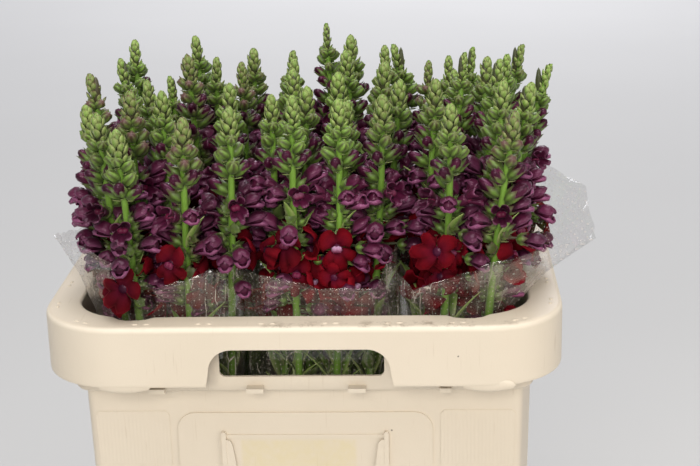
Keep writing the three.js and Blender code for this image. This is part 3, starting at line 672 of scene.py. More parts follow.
def downy_green():
    """Living snapdragon green: stalk, bracts, sepals and leaves. Short hairs take the shine off and pale the
    margins, young parts are yellower and tips turn brownish plum. Painted shade darkens the furrows, the
    insides of cups and each organ towards its foot."""
    material, add_node, spot, along, blush, edge, tone, bronze = new_finish(
        "snapdragon_green_downy", *LAYERS)
    mottle = add_node("TexNoise", {"Vector": spot, "Scale": 1 / (3.8 * MM), "Detail": 3.0})
    fresh = add_node("Mix", {0: tone, 6: "#4e721f", 7: "#7caa3a"}, data_type="RGBA")
    # painted shade: each organ darker towards its foot, where organs overlap, and lighter towards its tip
    painted_light_tipward = add_node("MapRange", {"Value": along, "From Min": 0.2, "From Max": 0.75})
    colour = add_node("Mix", {0: painted_light_tipward, 6: "#35491a", 7: fresh}, data_type="RGBA")
    # furrow darkens the furrows and the insides of cups as painted shade; margin pales the margins, their own
    # colour
    patchy, furrow, margin = (
        add_node("Math", {0: source, 1: amount}, operation="MULTIPLY")
        for source, amount in ((mottle, 0.45), (edge, 0.9), (edge, -0.42)))
    how_brown = add_node("Math", {0: bronze, 1: 0.75, 2: 0.3}, operation="MULTIPLY_ADD")
    browned = add_node("Math", {0: blush, 1: how_brown}, operation="MULTIPLY", use_clamp=True)
    for share, tint in ((patchy, "#8fb54c"), (furrow, "#27300f"), (margin, "#b5b37e"), (browned, "#5a333a")):
        colour = add_node("Mix", {0: share, 6: colour, 7: tint}, data_type="RGBA")
    bump = add_node("Bump", {"Height": mottle, "Strength": 0.4, "Distance": 0.6 * MM})
    skin = add_node("BsdfPrincipled", {
        "Base Color": colour, "Roughness": 0.45, "IOR": 1.42, "Sheen Weight": 0.12, "Sheen Roughness": 0.5,
        "Sheen Tint": "#e6f0c8", "Normal": bump})
    add_node("OutputMaterial", {0: skin})
    return material


def shut_petals():
    """Petals still folded or the outside of a tube: plum to magenta, smooth and a little waxy, with a dark
    tip. The pale streaks along the folds are partly the petals' own colour and partly painted highlight on
    the folds' ridges, and the dark furrows are painted shade."""
    material, add_node, spot, along, blush, edge, tone = new_finish(
        "snapdragon_petal_plum_waxy", *LAYERS[:4])
    mottle = add_node("TexNoise", {"Vector": spot, "Scale": 1 / (2.6 * MM), "Detail": 4.0})
    colour = add_node("Mix", {0: tone, 6: "#2b0b1b", 7: "#5c1c3c"}, data_type="RGBA")
    tipward = add_node("Math", {0: along, 1: mottle}, operation="MULTIPLY")
    # streak: pale, partly the petals' own colour and partly painted highlight on ridges; edge, below, darkens
    # the furrows as painted shade
    streak = add_node("MapRange", {"Value": blush, "From Min": 0.35, "From Max": 0.95, "To Max": 0.5})
    margin = add_node("Math", {0: edge, 1: -0.35}, operation="MULTIPLY")
    for share, tint in ((tipward, "#2c0518"), (edge, "#1c0410"), (streak, "#9c5a82"), (margin, "#9a5a80")):
        colour = add_node("Mix", {0: share, 6: colour, 7: tint}, data_type="RGBA")
    bump = add_node("Bump", {"Height": mottle, "Strength": 0.5, "Distance": 0.8 * MM})
    skin = add_node("BsdfPrincipled", {
        "Base Color": colour, "Roughness": 0.3, "IOR": 1.42, "Specular Tint": "#f0c4dc",
        "Sheen Weight": 0.03, "Sheen Tint": "#d9b4cc", "Normal": bump})
    add_node("OutputMaterial", {0: skin})
    return material


def velvet_petals():
    """The open lobes: deep crimson with a velvet nap that swallows light, darker towards the throat, and
    darker in the furrows between the lobes as painted shade.
    """
    material, add_node, spot, blush, edge, tone = new_finish(
        "snapdragon_petal_crimson_velvet", *LAYERS[1:4])
    mottle = add_node("TexNoise", {"Vector": spot, "Scale": 1 / (5.5 * MM), "Detail": 3.0})
    colour = add_node("Mix", {0: tone, 6: "#460009", 7: "#76000e"}, data_type="RGBA")
    cloudy, margin = (
        add_node("Math", {0: source, 1: amount}, operation="MULTIPLY")
        for source, amount in ((mottle, 0.8), (edge, -0.4)))
    # edge darkens the notches between the lobes: painted shade
    for share, tint in ((cloudy, "#350008"), (blush, "#3d0620"), (edge, "#240006"), (margin, "#8c1426")):
        colour = add_node("Mix", {0: share, 6: colour, 7: tint}, data_type="RGBA")
    bump = add_node("Bump", {"Height": mottle, "Strength": 0.5, "Distance": 1.2 * MM})
    skin = add_node("BsdfPrincipled", {
        "Base Color": colour, "Roughness": 0.8, "IOR": 1.35, "Specular IOR Level": 0.15, "Normal": bump,
        "Sheen Weight": 0.16, "Sheen Roughness": 0.35, "Sheen Tint": "#d0203c"})
    add_node("OutputMaterial", {0: skin})
    return material


def palate_petals():
    """The two swellings that shut the throat: magenta that pales to lilac on top, finely downy, and painted
    darker beneath, as painted shade.
    """
    material, add_node, spot, blush, edge, tone = new_finish("snapdragon_palate_lilac", *LAYERS[1:4])
    mottle = add_node("TexNoise", {"Vector": spot, "Scale": 1 / (2.4 * MM), "Detail": 2.0})
    colour = add_node("Mix", {0: tone, 6: "#4a0420", 7: "#7a1440"}, data_type="RGBA")
    light_flower = add_node("MapRange", {"Value": tone, "From Min": 0.72, "From Max": 0.9})
    pale = add_node("Math", {0: blush, 1: light_flower}, operation="MULTIPLY")
    cloudy = add_node("Math", {0: mottle, 1: 0.3}, operation="MULTIPLY")
    # edge darkens the swellings' undersides: painted shade
    for share, tint in ((pale, "#c9a6c6"), (edge, "#3a0824"), (cloudy, "#5c1440")):
        colour = add_node("Mix", {0: share, 6: colour, 7: tint}, data_type="RGBA")
    skin = add_node("BsdfPrincipled", {
        "Base Color": colour, "Roughness": 0.5, "IOR": 1.36, "Sheen Weight": 0.08, "Sheen Tint": "#e8c8e2"})
    add_node("OutputMaterial", {0: skin})
    return material


LABEL = (-58, 46)             # the label's trace runs between these x
RIB_PITCH = 3.3


def cream_polypropylene():
    """Moulded polypropylene, cream, used for years: satin and faintly cloudy, with brown grime on the rim, a
    few dark specks, fine upright scuffs, ribbed fields and the yellowed trace of a label. The rim's whole top
    is a darker tan, partly dust and partly painted shade."""
    material, add_node, spot = new_finish("polypropylene_cream_moulded_used")
    x, y, z = add_node("SeparateXYZ", {0: spot}).outputs
    across = add_node("Math", {0: x}, operation="ABSOLUTE")

    # soft steps from 0 to 1 between two places, in millimetres
    on_top, outer, left, right, below_label, beside, within, under = (
        add_node("MapRange", {"Value": value, "From Min": start * MM, "From Max": end * MM})
        for value, start, end in (
            (z, RIM_Z - 1.2, RIM_Z - 0.2), (y, -146, -158),
            (x, LABEL[0], LABEL[0] + 3), (x, LABEL[1], LABEL[1] - 3), (z, RIM_Z - 119, RIM_Z - 122),
            (across, 119, 121), (across, 185, 183), (z, RIM_Z - 92, RIM_Z - 94)))

    # grime: only on the rim's top, thicker towards its outer edge and on the front right
    blot = add_node("TexNoise", {"Vector": spot, "Scale": 1 / (9 * MM), "Detail": 8.0, "Roughness": 0.72})
    where = add_node("TexNoise", {"Vector": spot, "Scale": 1 / (90 * MM), "Detail": 1.0})
    rightward = add_node("MapRange", {
        "Value": x, "From Min": -60 * MM, "From Max": 120 * MM, "To Min": 0.4})
    here = add_node("MapRange", {"Value": where, "From Min": 0.42, "From Max": 0.62, "To Min": 0.15})
    ragged = add_node("MapRange", {"Value": blot, "From Min": 0.5, "From Max": 0.62})
    grime = on_top
    for factor in (outer, here, rightward, ragged):
        grime = add_node("Math", {0: grime, 1: factor}, operation="MULTIPLY")
    # the rim's whole top darker tan: partly dust, partly painted shade on the top
    dust_and_top_shade = add_node("Math", {0: on_top, 1: 0.24}, operation="MULTIPLY")

    # scuffs: thin upright streaks, 2 mm wide and some 40 mm tall
    upright = add_node("Mapping", {
        "Vector": spot, "Scale": (1 / (2 * MM), 1 / (40 * MM), 1 / (40 * MM))})
    streak = add_node("TexNoise", {"Vector": upright, "Scale": 1.0, "Detail": 2.0})
    scuff = add_node("MapRange", {"Value": streak, "From Min": 0.66, "From Max": 0.8, "To Max": 0.35})

    # specks: one in every 45 mm or so, about two millimetres across
    cell = add_node("TexVoronoi", {"Vector": spot, "Scale": 1 / (45 * MM)})
    speck = add_node("Math", {0: cell, 1: 0.022}, operation="LESS_THAN")
    speck = add_node("Math", {0: speck, 1: 0.7}, operation="MULTIPLY")

    # the label's trace, on the front panel
    torn = add_node("MapRange", {
        "Value": blot, "From Min": 0.3, "From Max": 0.6, "To Min": 0.12, "To Max": 0.44})
    label = add_node("Math", {0: y, 1: -0.1}, operation="LESS_THAN")
    for factor in (left, right, below_label, torn):
        label = add_node("Math", {0: label, 1: factor}, operation="MULTIPLY")

    cloud = add_node("TexNoise", {"Vector": spot, "Scale": 1 / (110 * MM), "Detail": 5.0})
    colour = add_node("Mix", {0: cloud, 6: "#cdc1ae", 7: "#d6cbba"}, data_type="RGBA")
    for share, tint in ((dust_and_top_shade, "#9a8569"), (grime, "#6a5743"), (scuff, "#b3a189"), (speck, "#2a2420"),
                        (label, "#cdbf8c")):
        colour = add_node("Mix", {0: share, 6: colour, 7: tint}, data_type="RGBA")

    # ribs on the fields beside the panel, and the faint grain of the mould everywhere
    wave = add_node("Math", {0: x, 1: 2 * math.pi / (RIB_PITCH * MM)}, operation="MULTIPLY")
    ribs = add_node("Math", {0: wave}, operation="SINE")
    for factor in (beside, within, under):
        ribs = add_node("Math", {0: ribs, 1: factor}, operation="MULTIPLY")
    grain = add_node("TexNoise", {"Vector": spot, "Scale": 1 / (1.6 * MM), "Detail": 2.0})
    relief = add_node("Math", {0: ribs, 1: 0.5, 2: grain}, operation="MULTIPLY_ADD")
    bump = add_node("Bump", {"Height": relief, "Strength": 0.3, "Distance": 0.25 * MM})
    rough = add_node("MapRange", {"Value": cloud, "To Min": 0.36, "To Max": 0.54})
    skin = add_node("BsdfPrincipled", {
        "Base Color": colour, "Roughness": rough, "IOR": 1.49, "Normal": bump})
    add_node("OutputMaterial", {0: skin})
    return material


HOLE_PITCH = 5.2              # of the film; its own UV map is in millimetres


def clear_film():
    """Oriented polypropylene film, 40 microns: clear and very glossy, with a faint warm haze and small round
    holes about every five millimetres. Where it is crumpled, white crease lines are painted into its haze as
    painted highlight, and the holes are painted white as painted highlight. The creases and holes are drawn
    wider than real ones, to show."""
    material, add_node, spot, crowd = new_finish("polypropylene_film_perforated", "crumpled")
    sheet = add_node("UVMap", uv_map="sheet")

    # holes, painted white as painted highlight where their rims catch the light
    hole = add_node("TexVoronoi", {
        "Vector": sheet, "Scale": 1 / HOLE_PITCH, "Randomness": 0.35}, voronoi_dimensions="2D")
    dots = add_node("Math", {0: hole, 1: 0.095}, operation="LESS_THAN")

    # creases: thin white lines, painted highlight, between flat facets about 12 mm wide and 75 mm tall, bent
    # by a softer wave
    bent = add_node("TexNoise", {"Vector": sheet, "Scale": 1 / 18, "Detail": 1.0})
    facets = add_node("Mapping", {
        "Vector": sheet, "Scale": (1 / 12, 1 / 75, 1.0), "Rotation": (0, 0, 0.16)})
    pushed = add_node("VectorMath", {0: bent, 1: (0.3, 0.3, 0.3), 2: facets}, operation="MULTIPLY_ADD")
    crumple, seam = (
        add_node("TexVoronoi", {"Vector": pushed, "Scale": 1.0}, voronoi_dimensions="2D", feature=feature)
        for feature in ("F1", "DISTANCE_TO_EDGE"))
    strong = add_node("MapRange", {"Value": crowd, "From Min": 0.3, "From Max": 0.9})
    wide = add_node("Math", {0: strong, 1: 0.02, 2: 0.01}, operation="MULTIPLY_ADD")
    crease = add_node("MapRange", {"Value": seam, "From Max": wide, "To Min": 1.0, "To Max": 0.0})
    parted = add_node("TexNoise", {"Vector": sheet, "Scale": 1 / 24, "Detail": 1.0})
    glint_patches = add_node("MapRange", {"Value": parted, "From Min": 0.46, "From Max": 0.56})
    for factor in (glint_patches, crowd):
        crease = add_node("Math", {0: crease, 1: factor}, operation="MULTIPLY")

    # gloss: stronger at a glancing angle and where the facets tilt
    height = add_node("Math", {0: crumple, 1: strong}, operation="MULTIPLY")
    bump = add_node("Bump", {"Height": height, "Strength": 1.0, "Distance": 6 * MM})
    glance = add_node("Fresnel", {"IOR": 1.5})
    shine = add_node("MapRange", {"Value": glance, "From Min": 0.03, "To Min": 0.012, "To Max": 0.16})
    shine = add_node("Math", {0: strong, 1: 0.045, 2: shine}, operation="MULTIPLY_ADD")
    see = add_node("BsdfTransparent", {"Color": "#fefefe"})
    gloss = add_node("BsdfGlossy", {"Color": "#ffffff", "Roughness": 0.05, "Normal": bump})
    body = add_node("MixShader", {0: shine, 1: see, 2: gloss})

    # haze: fainter on the flat parts and inside the container, whiter in the creases and at the holes, where
    # it carries painted highlight
    broad = add_node("TexNoise", {"Vector": sheet, "Scale": 1 / 48, "Detail": 2.0})
    haze = add_node("MapRange", {
        "Value": broad, "From Min": 0.42, "From Max": 0.64, "To Min": 0.004, "To Max": 0.06})
    flat = add_node("MapRange", {"Value": crowd, "From Min": 0.12, "From Max": 0.2, "To Min": 0.25})
    z = add_node("SeparateXYZ", {0: spot}).outputs[2]
    above = add_node("MapRange", {
        "Value": z, "From Min": (RIM_Z - 30) * MM, "From Max": (RIM_Z - 4) * MM, "To Min": 0.15})
    for factor in (flat, above):
        haze = add_node("Math", {0: haze, 1: factor}, operation="MULTIPLY")
    for mark_on_it, amount in ((crease, 0.7), (dots, 0.4)):
        haze = add_node("Math", {0: mark_on_it, 1: amount, 2: haze}, operation="MULTIPLY_ADD")
    lit = add_node("BsdfDiffuse", {"Color": "#efe5d8"})
    lit_through = add_node("BsdfTranslucent", {"Color": "#f4eee6"})
    veil = add_node("MixShader", {0: 0.5, 1: lit, 2: lit_through})
    add_node("OutputMaterial", {0: add_node("MixShader", {0: haze, 1: body, 2: veil})})
    return material


def still_water():
    """Clear tap water, a little green from the stems that stand in it."""
    material, add_node, spot = new_finish("water_clear_greenish")
    ripple = add_node("TexNoise", {"Vector": spot, "Scale": 1 / (22 * MM), "Detail": 1.0})
    bump = add_node("Bump", {"Height": ripple, "Strength": 0.15, "Distance": 1 * MM})
    colour = add_node("Mix", {0: ripple, 6: "#c3d2bd", 7: "#d4dfcf"}, data_type="RGBA")
    skin = add_node("BsdfPrincipled", {
        "Base Color": colour, "Roughness": 0.04, "IOR": 1.333, "Transmission Weight": 0.9, "Normal": bump})
    add_node("OutputMaterial", {0: skin})
    return material


def painted_floor():
    """A pale painted floor, matt, with the faintest cloudiness."""
    material, add_node, spot = new_finish("floor_paint_pale_matt")
    cloud = add_node("TexNoise", {"Vector": spot, "Scale": 1 / (650 * MM), "Detail": 2.0})
    colour = add_node("Mix", {0: cloud, 6: "#b2b1b0", 7: "#b7b6b5"}, data_type="RGBA")
    skin = add_node("BsdfPrincipled", {"Base Color": colour, "Roughness": 0.85})
    add_node("OutputMaterial", {0: skin})
    return material


GREEN, PLUM, CRIMSON, PALATE = downy_green(), shut_petals(), velvet_petals(), palate_petals()
CREAM, FILM_CLEAR = cream_polypropylene(), clear_film()


# ---- stems: what the solids carry, and smaller organs between them ----
GOLDEN = 2.39996              # the turn from one organ to the next round a stem
HEART_FOOT = 36               # depth at which the tight tip's heart starts
SHOULDER = 128                # depth above which the flowers are still shut
BARE_FRONT = 150              # depth down to which the front stems show between their flowers
HIDDEN = 280                  # depth below which leaves are out of sight


class Piece:
    """A shape that organs are stamped into."""
    def __init__(self, name, bronze):
        self.name, self.bronze, self.shape = name, bronze, blank()

    def stamp(self, mould, f, size, tone, spin=0, only=None):
        """Puts a copy of mould at the frame f, sized by (x, y, z), or evenly, and turned by spin about
        its length."""
        copy = mould.copy()
        if only is not None:
            bmesh.ops.delete(copy, geom=[face for face in copy.faces if face.material_index not in only],
                             context="FACES")
        tones, bronze = (copy.verts.layers.float[name] for name in ("tone", "bronze"))
        for vert in copy.verts:
            vert[tones], vert[bronze] = tone, self.bronze
        at, right, up, out = (Vector(v) for v in f)
        c, s = math.cos(spin), math.sin(spin)
        sizes = size if isinstance(size, tuple) else (size, size, size)
        turned = (right * c + up * s, up * c - right * s, out)
        columns = [axis * k * MM for axis, k in zip(turned, sizes)] + [at * MM]
        matrix = Matrix([[column[i] for column in columns] for i in range(3)] + [[0, 0, 0, 1]])
        bmesh.ops.transform(copy, matrix=matrix, verts=copy.verts[:])
        add_shape(self.shape, copy)


class Dresser:
    """Dresses one stem in two pieces: all that is green on it, and all its petals."""
    def __init__(self, stem):
        self.stem, self.roll = stem, dice(1000 + stem.index)
        self.shade = self.roll()
        self.name = "snapdragon_stem_%02d" % (stem.index + 1)
        bronze = 0.9 if stem.index in BRONZE else 0.35 * self.roll()
        self.green, self.petals = Piece(self.name + "_greens", bronze), Piece(self.name + "_petals", bronze)
        self.stout = 0.7 + 0.3 * stem.girth
        self.turns = 0                        # golden turns that the organs have taken so far

    def tone(self, spread=0.5):
        """How light an organ is: its stem's own shade, and a draw as far as spread."""
        return min(1, max(0, self.shade * (1 - spread) + self.roll() * spread))

    def standing(self, depth, radius, angle, rise):
        return frame_from(self.stem, depth, radius, angle, 0, rise)

    def on_skin(self, depth, angle, rise, sunk=0.7):
        return self.standing(depth, girth_at(depth) * sunk, angle, rise)

    def hides_stem(self, depth, angle, side):
        """True on the front of a front stem, which shows between its flowers."""
        return self.stem.front and depth < BARE_FRONT and math.sin(angle) < side

    def stalk(self):
        """The stem itself: a round stalk that follows its axis."""
        stem, shape = self.stem, self.green.shape
        depths = sorted(d for d in (
            1.5, 5, 12, 20, 30, 42, 56, 72, 90, 112, 140, 172, 212, 300, 420, stem.length - 60, stem.length)
            if d <= stem.length)
        start = bmesh.ops.create_circle(shape, cap_ends=True, segments=8, radius=1)["verts"]
        rings = [list(start)]
        face = [f for f in shape.faces if set(f.verts) == set(start)]
        for _ in depths[1:]:
            made = bmesh.ops.extrude_face_region(shape, geom=face)["geom"]
            bmesh.ops.delete(shape, geom=face, context="FACES_ONLY")
            face = [g for g in made if isinstance(g, bmesh.types.BMFace)]
            rings.append(list(face[0].verts))
        for ring, depth in zip(rings, depths):
            in_hole = depth > stem.length - 70
            radius = 2.9 if in_hole else min(girth_at(depth) * 0.93, 0.9 + depth * 0.14)
            # below 190 mm the stalk is painted darker: painted shade inside the sleeves and the container
            tone = 0.15 + 0.35 * self.shade if depth < 190 else 0.1 * self.shade
            x, y, z = stem.axis(depth)
            for v in ring:
                angle = math.atan2(v.co.y, v.co.x)
                v.co = ((x + radius * math.cos(angle)) * MM, (y + radius * math.sin(angle)) * MM, z * MM)
                mark(shape, v, 0.75, 0, 0, tone, 0)
        smooth(shape)

    def tight_tip(self):
        """A packed heart under bracts that lie over each other like scales."""
        g, turn = self.stem.girth, self.stem.turn
        heart = self.standing(HEART_FOOT, 0, turn, math.pi / 2)
        self.green.stamp(CORE, heart, (4.3 * g, 4.3 * g, 32.5), 0.1)

        def dome(depth):
            return 6.1 * g * math.sqrt(max(0, 1 - max(0, 1 - depth / 9) ** 2))
        for j in range(-3, 23):
            size = min(0.98, 0.9 + 0.12 * j) * (0.92 + 0.14 * self.roll()) * g ** 0.7
            depth = 8.4 + 1.22 * j
            foot = 0.72 * dome(depth)
            slope = math.atan((foot - dome(max(0, depth - 10 * size))) / (10 * size))
            lean = slope - 0.014 * max(0, j) * (1 + self.roll())
            f = self.standing(depth, foot, turn + j * GOLDEN, math.pi / 2 + lean)
            self.green.stamp(TIP_BRACT if j < 15 else LOW_BRACT, f, (size * 1.08, size, size), self.tone())

    def bud(self, kind, f, size, width, depth):
        """A bud with its bract; it shows the more petal the lower it grows."""
        shade, spin = self.tone(), (self.roll() - 0.5) * 0.6
        angle = math.atan2(f[3][1], f[3][0])
        length = (0.78 if depth < 70 else 0.62) * self.stout
        bract = self.standing(depth + 3.5, girth_at(depth) * 0.7, angle, 0.35)
        self.green.stamp(BUD_BRACT, bract, length, self.tone())
        drawn = depth + 12 * self.roll()
        if kind == "corolla" and depth > 80:
            cup = width * 0.98
            self.green.stamp(CUPS[3], f, (cup, cup, size * 1.4), shade, spin)
            mould = COROLLAS[int(self.roll() * 2)]
            self.petals.stamp(mould, f, (width * 1.4, width * 1.35, size * 1.3), shade, spin * 0.5)
        elif drawn < 60:
            self.green.stamp(GREEN_BUD, f, (width * 1.12, width * 1.05, size), shade, spin)
        else:
            stage = 1 if drawn < 78 else 2
            self.green.stamp(CUPS[stage], f, (width * 1.08, width * 1.08, size), shade, spin)
            self.petals.stamp(SHUT[stage], f, (width * 0.98, width * 0.98, size * 1.04), shade, spin)

    def blossom(self, f, size, free=False, young=False):
        """A flower. One that stands free of the solids' own may turn further and may lack its palate."""
        mould, shade = FLOWERS[int(self.roll() * 4)], self.tone(0.8)
        spin = (self.roll() - 0.5) * (2.9 if free else 0.5)
        if young:
            mould = HALF_OPEN[int(self.roll() * 2)]
        sizes = (size * (0.92 + 0.2 * self.roll()), size * (0.92 + 0.2 * self.roll()), size)
        self.green.stamp(mould, f, size, shade, 0, only=(0,))
        petals_only = (1, 2) if free and self.roll() < 0.7 else (1, 2, 3)
        self.petals.stamp(mould, f, sizes, shade, spin, only=petals_only)

    def leaf(self, f, size, broad, shade):
        """A leaf, this much broader than its mould and darker than its stem."""
        mould = LEAVES[int(self.roll() * 2)]
        self.green.stamp(mould, f, (size * broad, size, size), self.tone() * shade)

    def organs_of_the_solid(self):
        stem = self.stem
        for kind, k, _, f, size, width in stem.organs:
            depth = (stem.rings[k][0] + stem.rings[k + 1][0]) / 2
            if kind == "flower":
                self.blossom(f, size, young=depth + 24 * self.roll() < 117)
            elif kind == "leaf":
                self.leaf(f, size, 1, 1)
            else:
                self.bud(kind, f, size, width, depth)

    def buds_between(self):
        """Small buds between the solid's own."""
        depth = 33.0
        while depth < 96:
            size = (10 + (depth - 24) * 0.25) * self.stout
            width = (3.8 + (depth - 24) * 0.032) * self.stout
            for jitter in (0, 0.35, -0.35, 0.7, -0.7):
                angle = self.stem.turn + (30 + self.turns) * GOLDEN + jitter
                f = self.on_skin(depth, angle, 0.66 + 0.12 * self.roll())
                if claim(balls_of("bud", f, size, width, self.stem.index), -1.6):
                    self.bud("bud" if depth < 78 else "corolla", f, size, width, depth)
                    break
            self.turns += 1
            depth += 4.2

    def flower_balls(self, kind, f, size, room):
        """The balls of a flower, or of a corolla that is given this much room along its length."""
        return balls_of(kind, f, size * (room if kind == "corolla" else 1), 6.8, self.stem.index)

    def grow_flower(self, kind, f, size, depth):
        if kind == "flower":
            self.blossom(f, size, free=True)
        else:
            self.bud(kind, f, size, 5.2, depth)

    def flowers_between(self):
        """Flowers, and higher up shut ones, between those of the solid."""
        clear = {"corolla": (-5.6, -0.8), "flower": (-4.2, -2.2)}        # to an organ, to film
        depth = 84.0
        while depth < 182:
            kinds = [("flower", 1.0), ("flower", 0.85), ("flower", 0.7)]
            if depth < SHOULDER:
                kinds = [("corolla", 24), ("corolla", 19)]
            elif self.roll() < 0.3:
                kinds = [("corolla", 22), ("corolla", 18)] + kinds[1:]
            rise = 0.4 if depth < SHOULDER else 0.1
            for (kind, size), jitter in product(kinds, (0, 0.5, -0.5, 1.0, -1.0)):
                angle = self.stem.turn + self.turns * GOLDEN + jitter
                if self.hides_stem(depth, angle, -0.66):
                    continue
                f = self.on_skin(depth, angle, rise + 0.3 * self.roll())
                if claim(self.flower_balls(kind, f, size, 1.25), *clear[kind]):
                    self.grow_flower(kind, f, size, depth)
                    break
            self.turns += 1
            depth += 8.0 if depth < 120 else 6.0

    def reaching_flowers(self):
        """More that reach out over the rim on longer stalks, where the stem stands at the crowd's edge."""
        x, y, _ = self.stem.axis(150)
        if abs(x) <= 115 and abs(y) <= 72:
            return
        clear = {"corolla": (-3.6, -0.6), "flower": (-3.6, -1.8)}
        outward = math.atan2(y * 1.6, x)
        for j in range(15):
            depth, skipped = 112 + 6 * j, j < 4 and self.roll() < 0.5
            kinds = [("flower", 0.95), ("flower", 0.75), ("corolla", 17)]
            if self.roll() > (0.75 if depth > 130 else 0.2):
                kinds = [("corolla", 20), ("corolla", 17)]
            if skipped:
                continue
            for far, (kind, size), jitter in product((16, 11, 7), kinds, (0, 0.55, -0.55, 1.1, -1.1)):
                angle = outward + jitter + 0.4 * math.sin(2.4 * j)
                f = self.standing(depth, far, angle, 0.1)
                if claim(self.flower_balls(kind, f, size, 1.3), *clear[kind]):
                    self.green.stamp(CORE, self.standing(depth, 0, angle, 0.1), (1.4, 1.4, far + 4), 0.3)
                    self.grow_flower(kind, f, size, depth)
                    break

    def dropped_cups(self):
        """Green cups whose flowers have dropped, each with its bract."""
        for j in range(14):
            depth, angle = 86 + 6 * j, self.stem.turn + 1.2 + j * GOLDEN
            f = self.on_skin(depth, angle, 0.5, 0.8)
            if is_free(balls_of("bud", f, 9, 3.4, self.stem.index), -4.5):
                self.green.stamp(CUPS[3], f, (4.6, 4.6, 22), self.tone())
                bract = self.standing(depth + 4, girth_at(depth) * 0.7, angle, 0.2)
                self.green.stamp(BUD_BRACT, bract, 0.9, self.tone())

    def narrow_leaves(self):
        """Narrow leaves among the flowers."""
        for j in range(6):
            angle, rise = self.stem.turn + 2 + j * GOLDEN, 0.9 + 0.3 * self.roll()
            f, size = self.standing(104 + 14 * j, girth_at(110) * 0.7, angle, rise), 26 + 14 * self.roll()
            if is_free(balls_of("leaf", f, size, 6.5, self.stem.index), -5, -1.5):
                self.leaf(f, size, 1.2, 0.5)

    def velvet_folds(self):
        """Loose lobes that fill what is left between the flowers."""
        for j in range(30):
            depth, angle = 126 + 2.5 * j, self.stem.turn + j * GOLDEN + self.roll()
            f = self.standing(depth, 3 + 9 * self.roll(), angle, -0.5 + 1.6 * self.roll())
            size = 1.2 + 0.6 * self.roll() + (0.5 if depth > 160 else 0)
            balls = [(place(f, 0, y, z * size), r, self.stem.index, False)
                     for y, z, r in ((0, 5, 4), (-1.5, 9, 3.5))]
            if not self.hides_stem(depth, angle, -0.6) and claim(balls, -3.2, -1.5):
                self.petals.stamp(LOOSE[j % 3], f, size, self.tone(0.8), (self.roll() - 0.5) * 2)

    def lower_leaves(self):
        """Leaves down in the container."""
        depth = 190.0
        while depth < 430:
            seen = depth < HIDDEN
            f = self.on_skin(depth, self.stem.turn + self.turns * GOLDEN, 0.95 + 0.25 * self.roll())
            size = (30 if seen else 40) + 22 * self.roll()
            balls = balls_of("leaf", f, size, 6.5, self.stem.index)
            if all(in_container(*ball[0], 9) for ball in balls) and is_free(balls, -3):
                self.leaf(f, size, 1.3, 0.9 if seen else 0.35)
            self.turns += 1
            depth += 8 if seen else 17

    def dress(self):
        for grow in (self.stalk, self.tight_tip, self.organs_of_the_solid, self.buds_between,
                     self.flowers_between, self.reaching_flowers, self.dropped_cups, self.narrow_leaves,
                     self.velvet_folds, self.lower_leaves):
            grow()
        for piece, materials, slot in ((self.green, [GREEN], "stem"),
                                       (self.petals, [PLUM, CRIMSON, PLUM, PALATE], "petal")):
            made = made_object(piece.name, piece.shape, *materials)
            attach(made, "root")
            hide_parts(self.name)


for stem in grow_all():
    Dresser(stem).dress()


# ---- film sleeves ----
COLUMNS_EACH = 9              # columns of film between two of a sleeve's twelve points
LEVEL_SHARES = (              # rows of film: how far each stands from a level towards the next
    (0, 0.25, 0.5, 0.66, 0.76, 0.84, 0.92), (0, 0.25, 0.5, 0.75), (0, 0.25, 0.5, 0.75, 1))
UPPER_ROW = 11                # the upper half of what stands over the rim starts at this row


def eased(a, b, v):
    t = max(0, min(1, (v - a) / (b - a)))
    return t * t * (3 - 2 * t)


def between(a, b, t):
    return tuple(v * (1 - t) + w * t for v, w in zip(a, b))


def ring_rows(shape, column, points, count):
    """Runs a ring of points on row by row and gives each row's vertices, which keep their column."""
    ring = list(bmesh.ops.create_circle(shape, segments=points, radius=1)["verts"])
    for i, v in enumerate(ring):
        v[column] = i
    edges = shape.edges[:]
    for row in range(count):
        if row:
            made = bmesh.ops.extrude_edge_only(shape, edges=edges)["geom"]
            ring = [g for g in made if isinstance(g, bmesh.types.BMVert)]
            fresh = set(ring)
            edges = [g for g in made if isinstance(g, bmesh.types.BMEdge) and fresh.issuperset(g.verts)]
        yield ring


